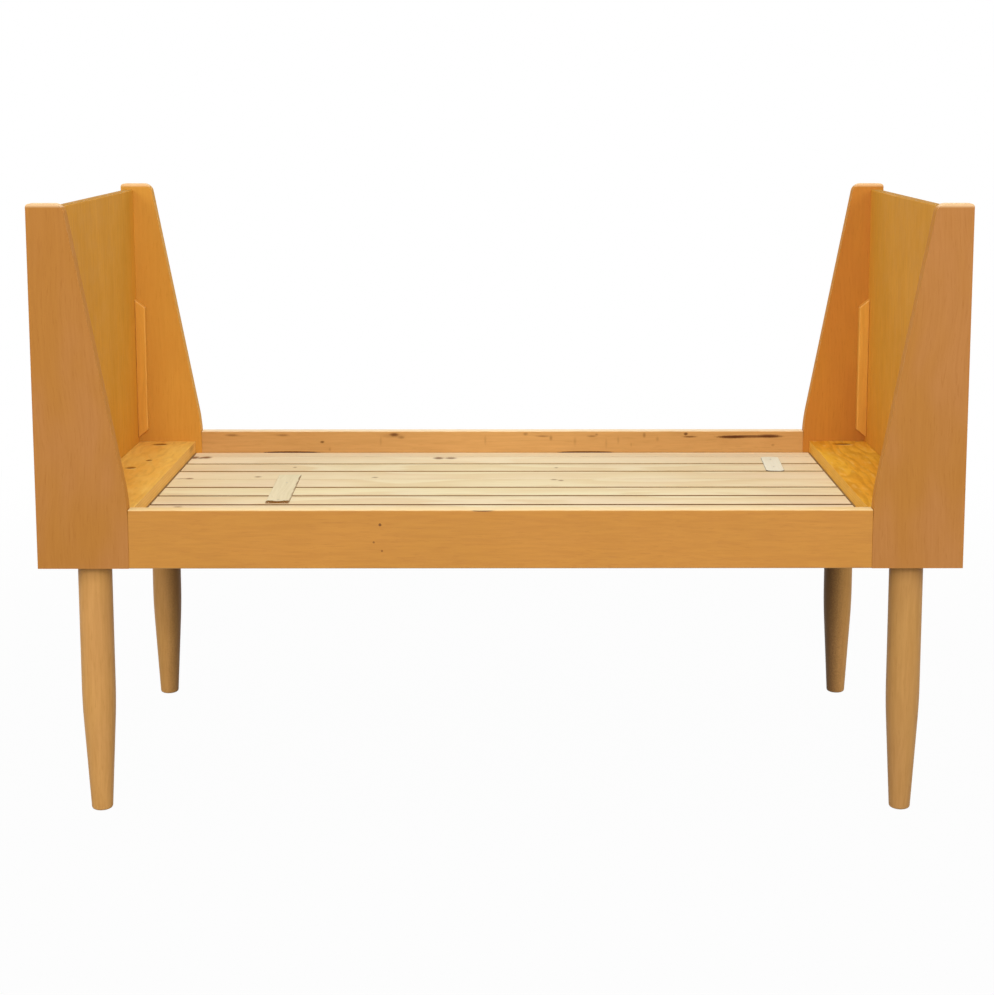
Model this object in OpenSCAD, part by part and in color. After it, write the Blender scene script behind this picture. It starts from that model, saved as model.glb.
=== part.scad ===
// Small bed frame: two wide ends of tapered wings and a panel, joined by two
// rails, with a deck of lengthways slats, plywood end shelves and turned legs.
// X runs along the bed, Y from front to rear, Z up from the floor.

/* [Overall] */
// Overall length, over the outer edges of the wings
bed_length = 1300; // [1150:5:2100]
// Overall depth, over the outer faces of the wings
bed_depth = 640; // [560:5:760]
// Height from the floor to the underside of the rails
leg_clear_height = 371; // [220:1:450]

/* [Wings] */
// Height of each wing, from its underside to its top
wing_height = 512; // [420:1:700]
// Width of a wing at its foot, beside the rail
wing_foot_width = 128; // [120:1:180]
// Width of a wing at its top
wing_top_width = 50; // [40:1:100]
// Thickness of the boards that wings and rails are cut from
board_thickness = 20; // [17:0.5:24]
// Height of the knee above the top of the rail
wing_knee_rise = 9; // [4:1:60]
// Radius of the soft bend at the knee
wing_knee_radius = 300; // [100:10:500]
// Radius of the inner top corner of a wing
wing_inner_radius = 15; // [6:1:18]
// Radius of the outer top corner of a wing
wing_outer_radius = 5; // [2:0.5:10]

/* [Rails] */
// Height of the front and rear rails
rail_height = 84; // [74:1:120]
// Rounding of the long edges of the rails
rail_round = 2.5; // [0.5:0.5:4]

/* [End panels] */
// Thickness of an end panel
panel_thickness = 16; // [14:0.5:22]
// How far the panel is set in from the outer edge of the wings
panel_recess = 5; // [1:0.5:12]
// How far the top of the panel lies below the top of the wings
panel_drop = 10; // [3:1:60]
// Rounding of the top edges of the panel
panel_round = 2; // [0.5:0.5:4]

/* [End shelves] */
// Thickness of the plywood shelf
shelf_thickness = 20; // [15:0.5:24]
// Drop from the top of the rail to the top of the shelf
shelf_drop = 17.5; // [4:0.5:20]
// How far the inner edge of the shelf is set back from the end of the rail
shelf_setback = 11; // [4:1:20]
// Running clearance round the shelf
shelf_clearance = 0.3; // [0.1:0.1:1]

/* [Corner cleats] */
// Width of a cleat, along the wing
cleat_width = 17; // [12:1:24]
// Depth of a cleat, along the panel
cleat_depth = 14; // [10:1:20]
// Length of a cleat over its longer side
cleat_length = 240; // [120:5:300]
// Gap between the shelf and the foot of the cleat
cleat_foot_gap = 8.5; // [2:0.5:40]
// How much shorter the free side is at each mitred end
cleat_mitre_length = 14; // [6:1:20]

/* [Deck] */
// Width of a slat
slat_width = 55; // [50:1:70]
// Gap between two slats
slat_gap = 8; // [4:0.5:12]
// Least width of the filler slat at the rear rail
filler_least_width = 20; // [16:1:26]
// Thickness of a slat
slat_thickness = 15; // [12:0.5:18]
// Drop from the top of the rail to the top of the slats
deck_drop = 38; // [30:1:40]
// Clearance between the outer slats and the rails
deck_clearance = 1; // [0.3:0.1:3]
// Clearance between a slat end and the end bearer
slat_end_clearance = 1; // [0.3:0.1:2]

/* [Deck support] */
// Width of a ledger, out from the rail
ledger_width = 20; // [16:1:30]
// Height of a ledger
ledger_height = 20; // [16:1:22]
// Clearance between the end of a ledger and the leg block
ledger_end_clearance = 1; // [0.5:0.1:3]
// Number of cross bearers between the end bearers
bearer_count = 5; // [3:1:6]
// Width of a cross bearer
bearer_width = 45; // [30:1:60]
// Height of a bearer where it carries the slats
bearer_height = 28; // [24:1:30]
// Clearance between bearers and rails, and beside the ledgers
bearer_clearance = 0.3; // [0.1:0.1:1]
// Width of the step that carries the slat ends
end_bearer_ledge = 20; // [16:1:30]
// Width of the upstand that carries the shelf
end_bearer_upstand = 15; // [10:1:16]

/* [Leg blocks] */
// Length of a leg block, in from the end panel
block_length = 78; // [74:1:80]
// Depth of a leg block, in from the wing
block_depth = 95; // [84:1:130]
// How far the underside of the block lies above the underside of the wing
block_recess = 8; // [2:1:12]

/* [Legs] */
// Diameter of a leg at its top
leg_diameter = 48; // [40:1:54]
// Diameter of a leg at the floor
foot_diameter = 30; // [24:1:36]
// Height above the floor at which the taper meets the straight part
taper_height = 160; // [110:5:200]
// Half length of the soft change from straight part to taper
taper_blend = 28; // [10:1:45]
// Rounding of the foot edge
foot_round = 3.5; // [1:0.5:6]
// Distance of the leg axis from the end of the bed
leg_inset_x = 68; // [66:1:72]
// Distance of the leg axis from the front or rear of the bed
leg_inset_y = 54; // [50:1:60]

/* [Leg hardware] */
// Diameter of the leg stud
stud_diameter = 10; // [8:1:12]
// Length of the stud inside the leg
stud_in_leg = 50; // [30:1:60]
// Length of the stud inside the block
stud_in_block = 32; // [26:1:34]
// Outer diameter of the nut barrel
nut_barrel_diameter = 13.5; // [13:0.5:16]
// Length of the nut barrel
nut_barrel_length = 14; // [10:1:18]
// Diameter of the nut flange
nut_flange_diameter = 26; // [22:1:30]
// Thickness of the nut flange
nut_flange_thickness = 1.6; // [1.2:0.1:2.5]

/* [Dowels] */
// Diameter of the dowels
dowel_diameter = 8; // [6:1:9]
// Length of a rail dowel on each side of the joint
dowel_in_edge = 30; // [20:1:36]
// Length of a panel dowel inside the panel
dowel_in_board = 24; // [16:1:30]
// Length of a panel dowel inside the face of a wing
dowel_in_face = 12; // [8:0.5:13]
// Number of dowels in one rail joint
rail_dowel_count = 3; // [2:1:4]
// Number of dowels in one panel joint
panel_dowel_count = 5; // [3:1:6]
// Distance of the outer rail dowels from the edges of the rail
rail_dowel_margin = 18; // [14:1:20]
// Distance of the outer panel dowels from the ends of the panel
panel_dowel_margin = 46; // [40:1:70]
// Clearance round dowels, screws, nails and studs
fit_clearance = 0.2; // [0.1:0.05:0.3]

/* [Screws and nails] */
// Shank diameter of the wood screws
screw_diameter = 4; // [3:0.5:4.5]
// Head diameter of the wood screws
screw_head_diameter = 8; // [7:0.5:9]
// Height of the countersunk head
screw_head_height = 2.2; // [1.8:0.1:3]
// Length of the ledger screws
ledger_screw_length = 33; // [25:1:35]
// Length of the bearer screws
bearer_screw_length = 25; // [18:1:28]
// Distance of a bearer screw from the line of the slat nails
bearer_screw_shift = 7; // [6:0.5:7.5]
// Length of a block screw beyond the bottom of its counterbore
block_screw_length = 50; // [40:1:52]
// How far a block screw bites into the wing
block_screw_bite = 13; // [8:0.5:15]
// Distance of the block screws from the ends of the block
block_screw_margin = 9; // [8:0.5:11]
// Diameter of the counterbore of a block screw
counterbore_diameter = 9; // [9:0.5:10]
// How far a shelf screw bites into the shelf
shelf_screw_bite = 12; // [8:0.5:13]
// Distance between the two shelf screws of a block
shelf_screw_spread = 30; // [20:1:34]
// Distance of the shelf screws from the inner side of the block
shelf_screw_margin = 16; // [10:1:20]
// Shank diameter of the slat nails
nail_diameter = 2.2; // [1.8:0.1:2.6]
// Head diameter of the slat nails
nail_head_diameter = 3.4; // [2.8:0.1:4]
// Height of a nail head
nail_head_height = 1.2; // [0.8:0.1:1.6]
// Length of a slat nail
nail_length = 36; // [28:1:38]
// Length of a cleat pin
cleat_pin_length = 28; // [22:1:30]
// Number of pins in a cleat
cleat_pin_count = 3; // [2:1:4]
// Distance of the outer cleat pins from the ends of the cleat
cleat_pin_margin = 36; // [24:1:50]

/* [Strips on the slats] */
// Width of the long tie strip
tie_width = 36; // [24:1:50]
// Length of the long tie strip
tie_length = 212; // [120:1:260]
// Thickness of both strips
strip_thickness = 1.4; // [1:0.1:3]
// Distance of the middle of the tie strip from the left end of the slats
tie_from_end = 189; // [60:1:400]
// Turn of the tie strip, in degrees
tie_turn = 1.2; // [0:0.1:4]
// Width of the small patch strip
patch_width = 30; // [20:1:45]
// Length of the small patch strip
patch_length = 120; // [70:1:130]
// Distance of the middle of the patch strip from the right end of the slats
patch_from_end = 78; // [40:1:400]
// Distance of the middle of the patch strip from the rear rail
patch_from_rail = 105; // [75:1:200]
// Turn of the patch strip, in degrees
patch_turn = 3; // [0:0.1:5]
// Corner radius of the strips
strip_radius = 4; // [1:0.5:8]
// Length of a strip pin below the strip
strip_pin_length = 10; // [6:1:12]
// Distance of the strip pins from the ends of a strip, at least
strip_pin_margin = 8; // [5:1:15]

/* [Hidden] */
$fn = 64;

// Levels above the floor
wing_bottom = leg_clear_height;
wing_top = wing_bottom + wing_height;
rail_top = wing_bottom + rail_height;
shelf_top = rail_top - shelf_drop;
shelf_bottom = shelf_top - shelf_thickness;
deck_top = rail_top - deck_drop;
deck_bottom = deck_top - slat_thickness;
ledger_top = wing_bottom + ledger_height;
bearer_bottom = deck_bottom - bearer_height;
block_bottom = wing_bottom + block_recess;
panel_top = wing_top - panel_drop;
knee_level = rail_top + wing_knee_rise;
cleat_bottom = shelf_top + cleat_foot_gap;

// Places along the bed, measured from its middle
half_length = bed_length / 2;
joint_x = half_length - wing_foot_width;
panel_out_x = half_length - panel_recess;
panel_in_x = panel_out_x - panel_thickness;
panel_mid_x = panel_out_x - panel_thickness / 2;
shelf_in_x = joint_x + shelf_setback;
block_in_x = panel_in_x - block_length;
ledger_end_x = block_in_x - ledger_end_clearance;
slat_end_x = shelf_in_x - slat_end_clearance;
end_bearer_in_x = shelf_in_x - end_bearer_ledge;
end_bearer_out_x = shelf_in_x + end_bearer_upstand;
end_ledge_x = shelf_in_x - end_bearer_ledge / 2;
leg_x = half_length - leg_inset_x;
tie_x = tie_from_end - slat_end_x;
patch_x = slat_end_x - patch_from_end;

// Places from front to rear, measured from the middle
half_depth = bed_depth / 2;
board_in_y = half_depth - board_thickness;
board_mid_y = half_depth - board_thickness / 2;
ledger_in_y = board_in_y - ledger_width;
leg_y = half_depth - leg_inset_y;
block_in_y = board_in_y - block_depth;
slat_pitch = slat_width + slat_gap;
deck_first_y = -board_in_y + deck_clearance;
deck_last_y = board_in_y - deck_clearance;
slat_count = floor((deck_last_y - deck_first_y - filler_least_width) / slat_pitch);
filler_y = deck_first_y + slat_count * slat_pitch;
filler_width = deck_last_y - filler_y;
patch_y = board_in_y - patch_from_rail;

// Sizes worked out from the above
leg_length = block_bottom;
rail_length = 2 * joint_x;
block_height = shelf_bottom - block_bottom;
nut_seat = shelf_bottom - nut_flange_thickness;

// Overshoot of a cut past the face that it opens
cut = 1;

wood_front = [0.76, 0.53, 0.28];
wood_panel = [0.74, 0.53, 0.22];
wood_rail = [0.81, 0.58, 0.3];
wood_shelf = [0.86, 0.63, 0.25];
wood_slat = [0.94, 0.85, 0.66];
wood_leg = [0.78, 0.58, 0.33];
wood_inner = [0.8, 0.66, 0.45];
wood_strip = [0.86, 0.81, 0.68];
steel = [0.6, 0.6, 0.62];

// Numbers spread evenly from one limit to the other
function spread(count, low, high) =
    [for (i = [0 : count - 1]) low + (high - low) * i / (count - 1)];

// Places shared by holes and by what goes into them
rail_dowel_levels = spread(rail_dowel_count,
    wing_bottom + rail_dowel_margin, rail_top - rail_dowel_margin);
panel_dowel_levels = spread(panel_dowel_count,
    wing_bottom + panel_dowel_margin, panel_top - panel_dowel_margin);
cleat_pin_levels = spread(cleat_pin_count,
    cleat_bottom + cleat_pin_margin, cleat_bottom + cleat_length - cleat_pin_margin);
support_places = spread(bearer_count + 2, -end_ledge_x, end_ledge_x);
wing_screw_x = (joint_x + ledger_end_x) / 2;
ledger_screw_places = concat([-wing_screw_x],
    [for (i = [0 : bearer_count]) (support_places[i] + support_places[i + 1]) / 2],
    [wing_screw_x]);
ledger_screw_level = wing_bottom + ledger_height / 2;
block_screw_level = block_bottom + block_height / 4;
block_screw_places = [block_in_x + block_screw_margin, panel_in_x - block_screw_margin];
block_screw_head_y = board_in_y + block_screw_bite - block_screw_length;

// Middle lines of the slats, counted from the front rail
function slat_middle(i) = deck_first_y + slat_pitch * i + slat_width / 2;
function first_slat_past(y) = ceil((y - slat_middle(0)) / slat_pitch);
function last_slat_before(y) = floor((y - slat_middle(0)) / slat_pitch);
filler_middle = filler_y + filler_width / 2;
slat_middles = concat([for (i = [0 : slat_count - 1]) slat_middle(i)], [filler_middle]);

// General shapes

// A box set between two corners
module block_between(low, high) {
    translate(low) cube(high - low);
}

// A plain round bar upwards from the origin
module bar(diameter, length) {
    cylinder(d = diameter, h = length);
}

// A round bar along X, from x = low to x = high
module bar_x(diameter, low, high, y, z) {
    translate([low, y, z]) rotate([0, 90, 0]) bar(diameter, high - low);
}

// A round bar along Y, from y = low to y = high
module bar_y(diameter, low, high, x, z) {
    translate([x, low, z]) rotate([-90, 0, 0]) bar(diameter, high - low);
}

// A rectangle with four round corners, its low corner at the origin
module round_rect(width, height, radius) {
    translate([radius, 0]) square([width - 2 * radius, height]);
    translate([0, radius]) square([width, height - 2 * radius]);
    for (x = [radius, width - radius], y = [radius, height - radius])
        translate([x, y]) circle(radius);
}

// A rectangle with only its two upper corners round
module round_top_rect(width, height, radius) {
    square([width, height - radius]);
    translate([radius, 0]) square([width - 2 * radius, height]);
    for (x = [radius, width - radius])
        translate([x, height - radius]) circle(radius);
}

// Countersunk wood screw with its head at the origin, pointing down
module wood_screw(length, extra = 0) {
    translate([0, 0, -length - extra]) bar(screw_diameter + 2 * extra, length + extra);
    translate([0, 0, -screw_head_height - extra])
        cylinder(d1 = screw_diameter + 2 * extra, d2 = screw_head_diameter + 2 * extra,
            h = screw_head_height + extra);
}

// Nail with a small head at the origin, pointing down
module nail(length, extra = 0) {
    translate([0, 0, -length - extra]) bar(nail_diameter + 2 * extra, length + extra);
    translate([0, 0, -nail_head_height - extra])
        bar(nail_head_diameter + 2 * extra, nail_head_height + extra);
}

// The four corners: side is -1 at the left end, face is -1 at the front
module at_corners() {
    for (side = [-1, 1], face = [-1, 1]) at_corner(side, face) children();
}

// Children are drawn for the right rear corner and mirrored to one corner
module at_corner(side, face) {
    mirror([side < 0 ? 1 : 0, 0, 0]) mirror([0, face < 0 ? 1 : 0, 0]) children();
}

// Children are drawn for the right end and mirrored to one end
module at_end(side) {
    mirror([side < 0 ? 1 : 0, 0, 0]) children();
}

// Children are drawn for the rear face and mirrored to the front or rear
module at_face(face) {
    mirror([0, face < 0 ? 1 : 0, 0]) children();
}

// Wings

// Points of an arc about a centre, from one angle to another
function arc(centre, radius, from, to, steps) =
    [for (i = [0 : steps]) centre + radius * [cos(from + (to - from) * i / steps),
        sin(from + (to - from) * i / steps)]];

// Slant of the inner edge against the vertical
slant_rise = wing_height - (knee_level - wing_bottom);
slant = atan((wing_foot_width - wing_top_width) / slant_rise);
corner_steps = 10;
knee_steps = 6;

// Centre of the knee arc, which touches the upright and the slanted edge
knee_reach = wing_knee_radius * tan(slant / 2);
knee_centre = [joint_x + wing_knee_radius, knee_level - knee_reach];

// Centre of the inner top arc, which touches the slanted edge and the top
inner_reach = wing_inner_radius * tan((90 - slant) / 2);
inner_centre = [half_length - wing_top_width + inner_reach, wing_top - wing_inner_radius];
outer_centre = [half_length - wing_outer_radius, wing_top - wing_outer_radius];

// Outline of a right wing, seen from the front
wing_outline = concat(
    [[joint_x, wing_bottom], [half_length, wing_bottom]],
    arc(outer_centre, wing_outer_radius, 0, 90, corner_steps),
    arc(inner_centre, wing_inner_radius, 90, 180 - slant, corner_steps),
    arc(knee_centre, wing_knee_radius, 180 - slant, 180, knee_steps)
);

// Holes of the rear right wing for dowels and screws
module wing_holes() {
    for (level = rail_dowel_levels)
        bar_x(dowel_diameter + 2 * fit_clearance, joint_x - cut,
            joint_x + dowel_in_edge + fit_clearance, board_mid_y, level);
    for (level = panel_dowel_levels)
        bar_y(dowel_diameter + 2 * fit_clearance, board_in_y - cut,
            board_in_y + dowel_in_face + fit_clearance, panel_mid_x, level);
    cleat_pins_at(fit_clearance);
    block_screws_at(fit_clearance);
    ledger_screw_at(wing_screw_x, fit_clearance);
}

module wing(side, face) {
    color(wood_front)
    at_corner(side, face)
    difference() {
        translate([0, half_depth, 0]) rotate([90, 0, 0])
            linear_extrude(board_thickness) polygon(wing_outline);
        wing_holes();
    }
}

// End panels

module end_panel(side) {
    color(wood_panel)
    at_end(side)
    difference() {
        translate([panel_in_x, board_in_y, wing_bottom])
        rotate([90, 0, 0])
        linear_extrude(2 * board_in_y)
            round_top_rect(panel_thickness, panel_top - wing_bottom, panel_round);
        for (face = [-1, 1], level = panel_dowel_levels)
            at_face(face)
            bar_y(dowel_diameter + 2 * fit_clearance,
                board_in_y - dowel_in_board - fit_clearance, board_in_y + cut,
                panel_mid_x, level);
    }
}

// Rails

module rail(face) {
    color(wood_rail)
    at_face(face)
    difference() {
        translate([-joint_x, board_in_y, wing_bottom])
        rotate([90, 0, 90])
        linear_extrude(rail_length)
            round_rect(board_thickness, rail_height, rail_round);
        for (side = [-1, 1], level = rail_dowel_levels)
            at_end(side)
            bar_x(dowel_diameter + 2 * fit_clearance,
                joint_x - dowel_in_edge - fit_clearance, joint_x + cut,
                board_mid_y, level);
        for (place = ledger_screw_places) ledger_screw_at(place, fit_clearance);
    }
}

// End shelves

module end_shelf(side) {
    color(wood_shelf)
    at_end(side)
    difference() {
        block_between(
            [shelf_in_x, -board_in_y + shelf_clearance, shelf_bottom],
            [panel_in_x - shelf_clearance, board_in_y - shelf_clearance, shelf_top]);
        for (face = [-1, 1]) at_face(face) shelf_screws_at(fit_clearance);
    }
}

// Corner cleats, mitred at both ends with the long side on the panel

module cleat(side, face) {
    color(wood_panel)
    at_corner(side, face)
    difference() {
        translate([0, board_in_y, 0])
        rotate([90, 0, 0])
        linear_extrude(cleat_depth)
        polygon([
            [panel_in_x, cleat_bottom],
            [panel_in_x, cleat_bottom + cleat_length],
            [panel_in_x - cleat_width, cleat_bottom + cleat_length - cleat_mitre_length],
            [panel_in_x - cleat_width, cleat_bottom + cleat_mitre_length]
        ]);
        cleat_pins_at(fit_clearance);
    }
}

// Pins through the rear right cleat into its wing, clear of the panel dowels
module cleat_pins_at(extra = 0) {
    for (level = cleat_pin_levels)
        translate([panel_in_x - cleat_width / 2, board_in_y - cleat_depth, level])
        rotate([90, 0, 0]) nail(cleat_pin_length, extra);
}

// Deck

// Nails along the middle line of one slat, one over each support
module slat_nails_at(y, extra = 0) {
    for (x = support_places) translate([x, y, deck_top]) nail(nail_length, extra);
}

module slat(i) {
    color(wood_slat)
    difference() {
        block_between(
            [-slat_end_x, slat_middle(i) - slat_width / 2, deck_bottom],
            [slat_end_x, slat_middle(i) + slat_width / 2, deck_top]);
        slat_nails_at(slat_middle(i), fit_clearance);
        strip_pins_at(fit_clearance);
    }
}

module filler_slat() {
    color(wood_slat)
    difference() {
        block_between(
            [-slat_end_x, filler_y, deck_bottom],
            [slat_end_x, filler_y + filler_width, deck_top]);
        slat_nails_at(filler_middle, fit_clearance);
    }
}

// A thin strip lying flat about its own middle, with round corners
module flat_strip(width, length) {
    translate([-width / 2, -length / 2, 0])
        linear_extrude(strip_thickness) round_rect(width, length, strip_radius);
}

module place_tie() {
    translate([tie_x, 0, deck_top]) rotate(tie_turn) children();
}

module place_patch() {
    translate([patch_x, patch_y, deck_top]) rotate(-patch_turn) children();
}

// Two pins of one strip, on its middle line and over the middles of slats
module strip_pins_along(x, y, length, turn, extra) {
    reach = length / 2 - strip_pin_margin;
    for (i = [first_slat_past(y - reach), last_slat_before(y + reach)])
        translate([x - (slat_middle(i) - y) * tan(turn), slat_middle(i),
            deck_top + strip_thickness])
        nail(strip_thickness + strip_pin_length, extra);
}

// Pins of both strips
module strip_pins_at(extra = 0) {
    strip_pins_along(tie_x, 0, tie_length, tie_turn, extra);
    strip_pins_along(patch_x, patch_y, patch_length, -patch_turn, extra);
}

module tie_strip() {
    color(wood_strip)
    difference() {
        place_tie() flat_strip(tie_width, tie_length);
        strip_pins_at(fit_clearance);
    }
}

module patch_strip() {
    color(wood_strip)
    difference() {
        place_patch() flat_strip(patch_width, patch_length);
        strip_pins_at(fit_clearance);
    }
}

// Deck support

module ledger(face) {
    edge_slat = face < 0 ? slat_middle(0) : filler_middle;
    color(wood_inner)
    difference() {
        at_face(face) block_between([-ledger_end_x, ledger_in_y, wing_bottom],
            [ledger_end_x, board_in_y, ledger_top]);
        for (place = ledger_screw_places) at_face(face) ledger_screw_at(place, fit_clearance);
        for (x = support_places) at_face(face) bearer_screw_at(x, fit_clearance);
        slat_nails_at(edge_slat, fit_clearance);
    }
}

// One screw from the inner side of the rear ledger into the rail or wing
module ledger_screw_at(x, extra = 0) {
    translate([x, ledger_in_y, ledger_screw_level])
    rotate([90, 0, 0]) wood_screw(ledger_screw_length, extra);
}

// One screw down through a bearer end into the rear ledger, clear of the nails
module bearer_screw_at(x, extra = 0) {
    shift = x < 0 ? -bearer_screw_shift : bearer_screw_shift;
    translate([x + shift, ledger_in_y + ledger_width / 2, deck_bottom])
        wood_screw(bearer_screw_length, extra);
}

// Room for the ledgers, screws and nails in any bearer
module bearer_cuts(x) {
    for (face = [-1, 1]) at_face(face) {
        block_between(
            [-half_length, ledger_in_y - bearer_clearance, wing_bottom - cut],
            [half_length, half_depth, ledger_top]);
        bearer_screw_at(x, fit_clearance);
    }
    for (y = slat_middles) translate([x, y, deck_top]) nail(nail_length, fit_clearance);
}

module bearer(i) {
    x = support_places[i];
    color(wood_inner)
    difference() {
        bearer_beam(x - bearer_width / 2, x + bearer_width / 2, deck_bottom);
        bearer_cuts(x);
    }
}

// Plain beam from the front rail to the rear rail
module bearer_beam(low_x, high_x, top) {
    block_between(
        [low_x, -board_in_y + bearer_clearance, bearer_bottom],
        [high_x, board_in_y - bearer_clearance, top]);
}

module end_bearer(side) {
    color(wood_inner)
    at_end(side)
    difference() {
        union() {
            bearer_beam(end_bearer_in_x, end_bearer_out_x, deck_bottom);
            bearer_beam(shelf_in_x, end_bearer_out_x, shelf_bottom);
        }
        bearer_cuts(end_ledge_x);
    }
}

// Leg blocks

// Screws from the inner side of the rear right block into its wing
module block_screws_at(extra = 0) {
    for (x = block_screw_places)
        translate([x, block_screw_head_y, block_screw_level])
        rotate([90, 0, 0]) wood_screw(block_screw_length, extra);
}

// Screws up through the rear right block into the shelf above it
module shelf_screws_at(extra = 0) {
    for (shift = [-1, 1])
        translate([panel_in_x - block_length / 2 + shift * shelf_screw_spread / 2,
            block_in_y + shelf_screw_margin, block_bottom])
        rotate([180, 0, 0]) wood_screw(block_height + shelf_screw_bite, extra);
}

module leg_block(side, face) {
    color(wood_inner)
    at_corner(side, face)
    difference() {
        block_between([block_in_x, block_in_y, block_bottom],
            [panel_in_x, board_in_y, shelf_bottom]);
        translate([leg_x, leg_y, block_bottom - cut])
            bar(stud_diameter + 2 * fit_clearance, block_height + 2 * cut);
        nut_shape(fit_clearance);
        block_screws_at(fit_clearance);
        for (x = block_screw_places)
            bar_y(counterbore_diameter, block_in_y - cut, block_screw_head_y,
                x, block_screw_level);
        shelf_screws_at(fit_clearance);
    }
}

// Legs and their hardware

// Half outline of a leg, from the axis at the floor to its top
taper_slope = (leg_diameter - foot_diameter) / 2 / taper_height;
taper_angle = atan(taper_slope);
blend_radius = taper_blend / tan(taper_angle / 2);
blend_centre = [leg_diameter / 2 - blend_radius, taper_height + taper_blend];
blend_steps = 6;
foot_steps = 6;
foot_centre_x = foot_diameter / 2 - foot_round * tan((90 - taper_angle) / 2);
leg_outline = concat(
    [[0, 0]],
    arc([foot_centre_x, foot_round], foot_round, -90, -taper_angle, foot_steps),
    arc(blend_centre, blend_radius, -taper_angle, 0, blend_steps),
    [[leg_diameter / 2, leg_length], [0, leg_length]]
);

module leg(side, face) {
    color(wood_leg)
    at_corner(side, face)
    translate([leg_x, leg_y, 0])
    difference() {
        rotate_extrude($fn = 96) polygon(leg_outline);
        translate([0, 0, leg_length - stud_in_leg - fit_clearance])
            bar(stud_diameter + 2 * fit_clearance, stud_in_leg + fit_clearance + cut);
    }
}

module leg_studs() {
    color(steel)
    at_corners()
    translate([leg_x, leg_y, block_bottom - stud_in_leg])
        bar(stud_diameter, stud_in_leg + stud_in_block);
}

// Barrel nut with a flange let into the top of a block
module nut_shape(extra = 0) {
    translate([leg_x, leg_y, shelf_bottom - nut_barrel_length - extra])
        bar(nut_barrel_diameter + 2 * extra, nut_barrel_length + extra);
    translate([leg_x, leg_y, nut_seat - extra])
        bar(nut_flange_diameter + 2 * extra, nut_flange_thickness + extra);
}

module leg_nuts() {
    color(steel)
    at_corners()
    difference() {
        nut_shape();
        translate([leg_x, leg_y, block_bottom])
            bar(stud_diameter + 2 * fit_clearance, block_height + cut);
    }
}

// Groups of equal fixings

module rail_dowels() {
    color(wood_inner)
    at_corners()
    for (level = rail_dowel_levels)
        bar_x(dowel_diameter, joint_x - dowel_in_edge, joint_x + dowel_in_edge,
            board_mid_y, level);
}

module panel_dowels() {
    color(wood_inner)
    at_corners()
    for (level = panel_dowel_levels)
        bar_y(dowel_diameter, board_in_y - dowel_in_board, board_in_y + dowel_in_face,
            panel_mid_x, level);
}

module ledger_screws() {
    color(steel)
    for (face = [-1, 1], place = ledger_screw_places)
        at_face(face) ledger_screw_at(place);
}

module bearer_screws() {
    color(steel)
    for (face = [-1, 1], x = support_places)
        at_face(face) bearer_screw_at(x);
}

module block_screws() {
    color(steel) at_corners() block_screws_at();
}

module shelf_screws() {
    color(steel) at_corners() shelf_screws_at();
}

module slat_nails() {
    color(steel)
    for (y = slat_middles) slat_nails_at(y);
}

module cleat_pins() {
    color(steel) at_corners() cleat_pins_at();
}

module strip_pins() {
    color(steel) strip_pins_at();
}

// Nodes

wing(-1, -1);  // front_left_wing
wing(1, -1);  // front_right_wing
wing(-1, 1);  // rear_left_wing
wing(1, 1);  // rear_right_wing
end_panel(-1);  // left_end_panel
end_panel(1);  // right_end_panel
rail(-1);  // front_rail
rail(1);  // rear_rail
end_shelf(-1);  // left_end_shelf
end_shelf(1);  // right_end_shelf
cleat(-1, -1);  // front_left_cleat
cleat(1, -1);  // front_right_cleat
cleat(-1, 1);  // rear_left_cleat
cleat(1, 1);  // rear_right_cleat
for (i = [0 : slat_count - 1])
    slat(i);
filler_slat();
tie_strip();
patch_strip();
ledger(-1);  // front_ledger
ledger(1);  // rear_ledger
end_bearer(-1);  // left_end_bearer
end_bearer(1);  // right_end_bearer
for (i = [1 : bearer_count])
    bearer(i);
leg_block(-1, -1);  // front_left_leg_block
leg_block(1, -1);  // front_right_leg_block
leg_block(-1, 1);  // rear_left_leg_block
leg_block(1, 1);  // rear_right_leg_block
leg(-1, -1);  // front_left_leg
leg(1, -1);  // front_right_leg
leg(-1, 1);  // rear_left_leg
leg(1, 1);  // rear_right_leg
leg_studs();
leg_nuts();
rail_dowels();
panel_dowels();
ledger_screws();
bearer_screws();
block_screws();
shelf_screws();
slat_nails();
cleat_pins();
strip_pins();
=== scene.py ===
"""Small bed frame with tapered wings, a slatted deck and turned legs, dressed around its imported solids."""
import logging
import math
from abc import ABC, abstractmethod
from collections.abc import Callable, Iterator
from contextlib import contextmanager
from dataclasses import dataclass, replace
from enum import Enum
from typing import ClassVar

import bmesh
import bpy
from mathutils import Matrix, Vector


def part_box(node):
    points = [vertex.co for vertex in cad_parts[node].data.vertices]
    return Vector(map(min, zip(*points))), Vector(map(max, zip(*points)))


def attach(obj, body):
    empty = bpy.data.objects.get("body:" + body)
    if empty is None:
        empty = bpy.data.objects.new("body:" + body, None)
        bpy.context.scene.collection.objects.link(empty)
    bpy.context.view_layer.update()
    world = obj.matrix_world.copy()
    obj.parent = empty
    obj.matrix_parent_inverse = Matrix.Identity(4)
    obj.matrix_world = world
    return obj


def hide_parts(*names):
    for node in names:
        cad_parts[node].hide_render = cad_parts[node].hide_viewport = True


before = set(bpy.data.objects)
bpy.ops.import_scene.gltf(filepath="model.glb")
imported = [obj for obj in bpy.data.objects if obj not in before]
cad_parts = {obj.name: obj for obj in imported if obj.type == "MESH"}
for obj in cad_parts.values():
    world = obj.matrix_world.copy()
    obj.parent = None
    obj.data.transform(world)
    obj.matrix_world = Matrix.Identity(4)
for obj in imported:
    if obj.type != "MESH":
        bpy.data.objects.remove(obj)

LOG = logging.getLogger("bed_frame")
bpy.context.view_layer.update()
BODY = "root"

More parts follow.
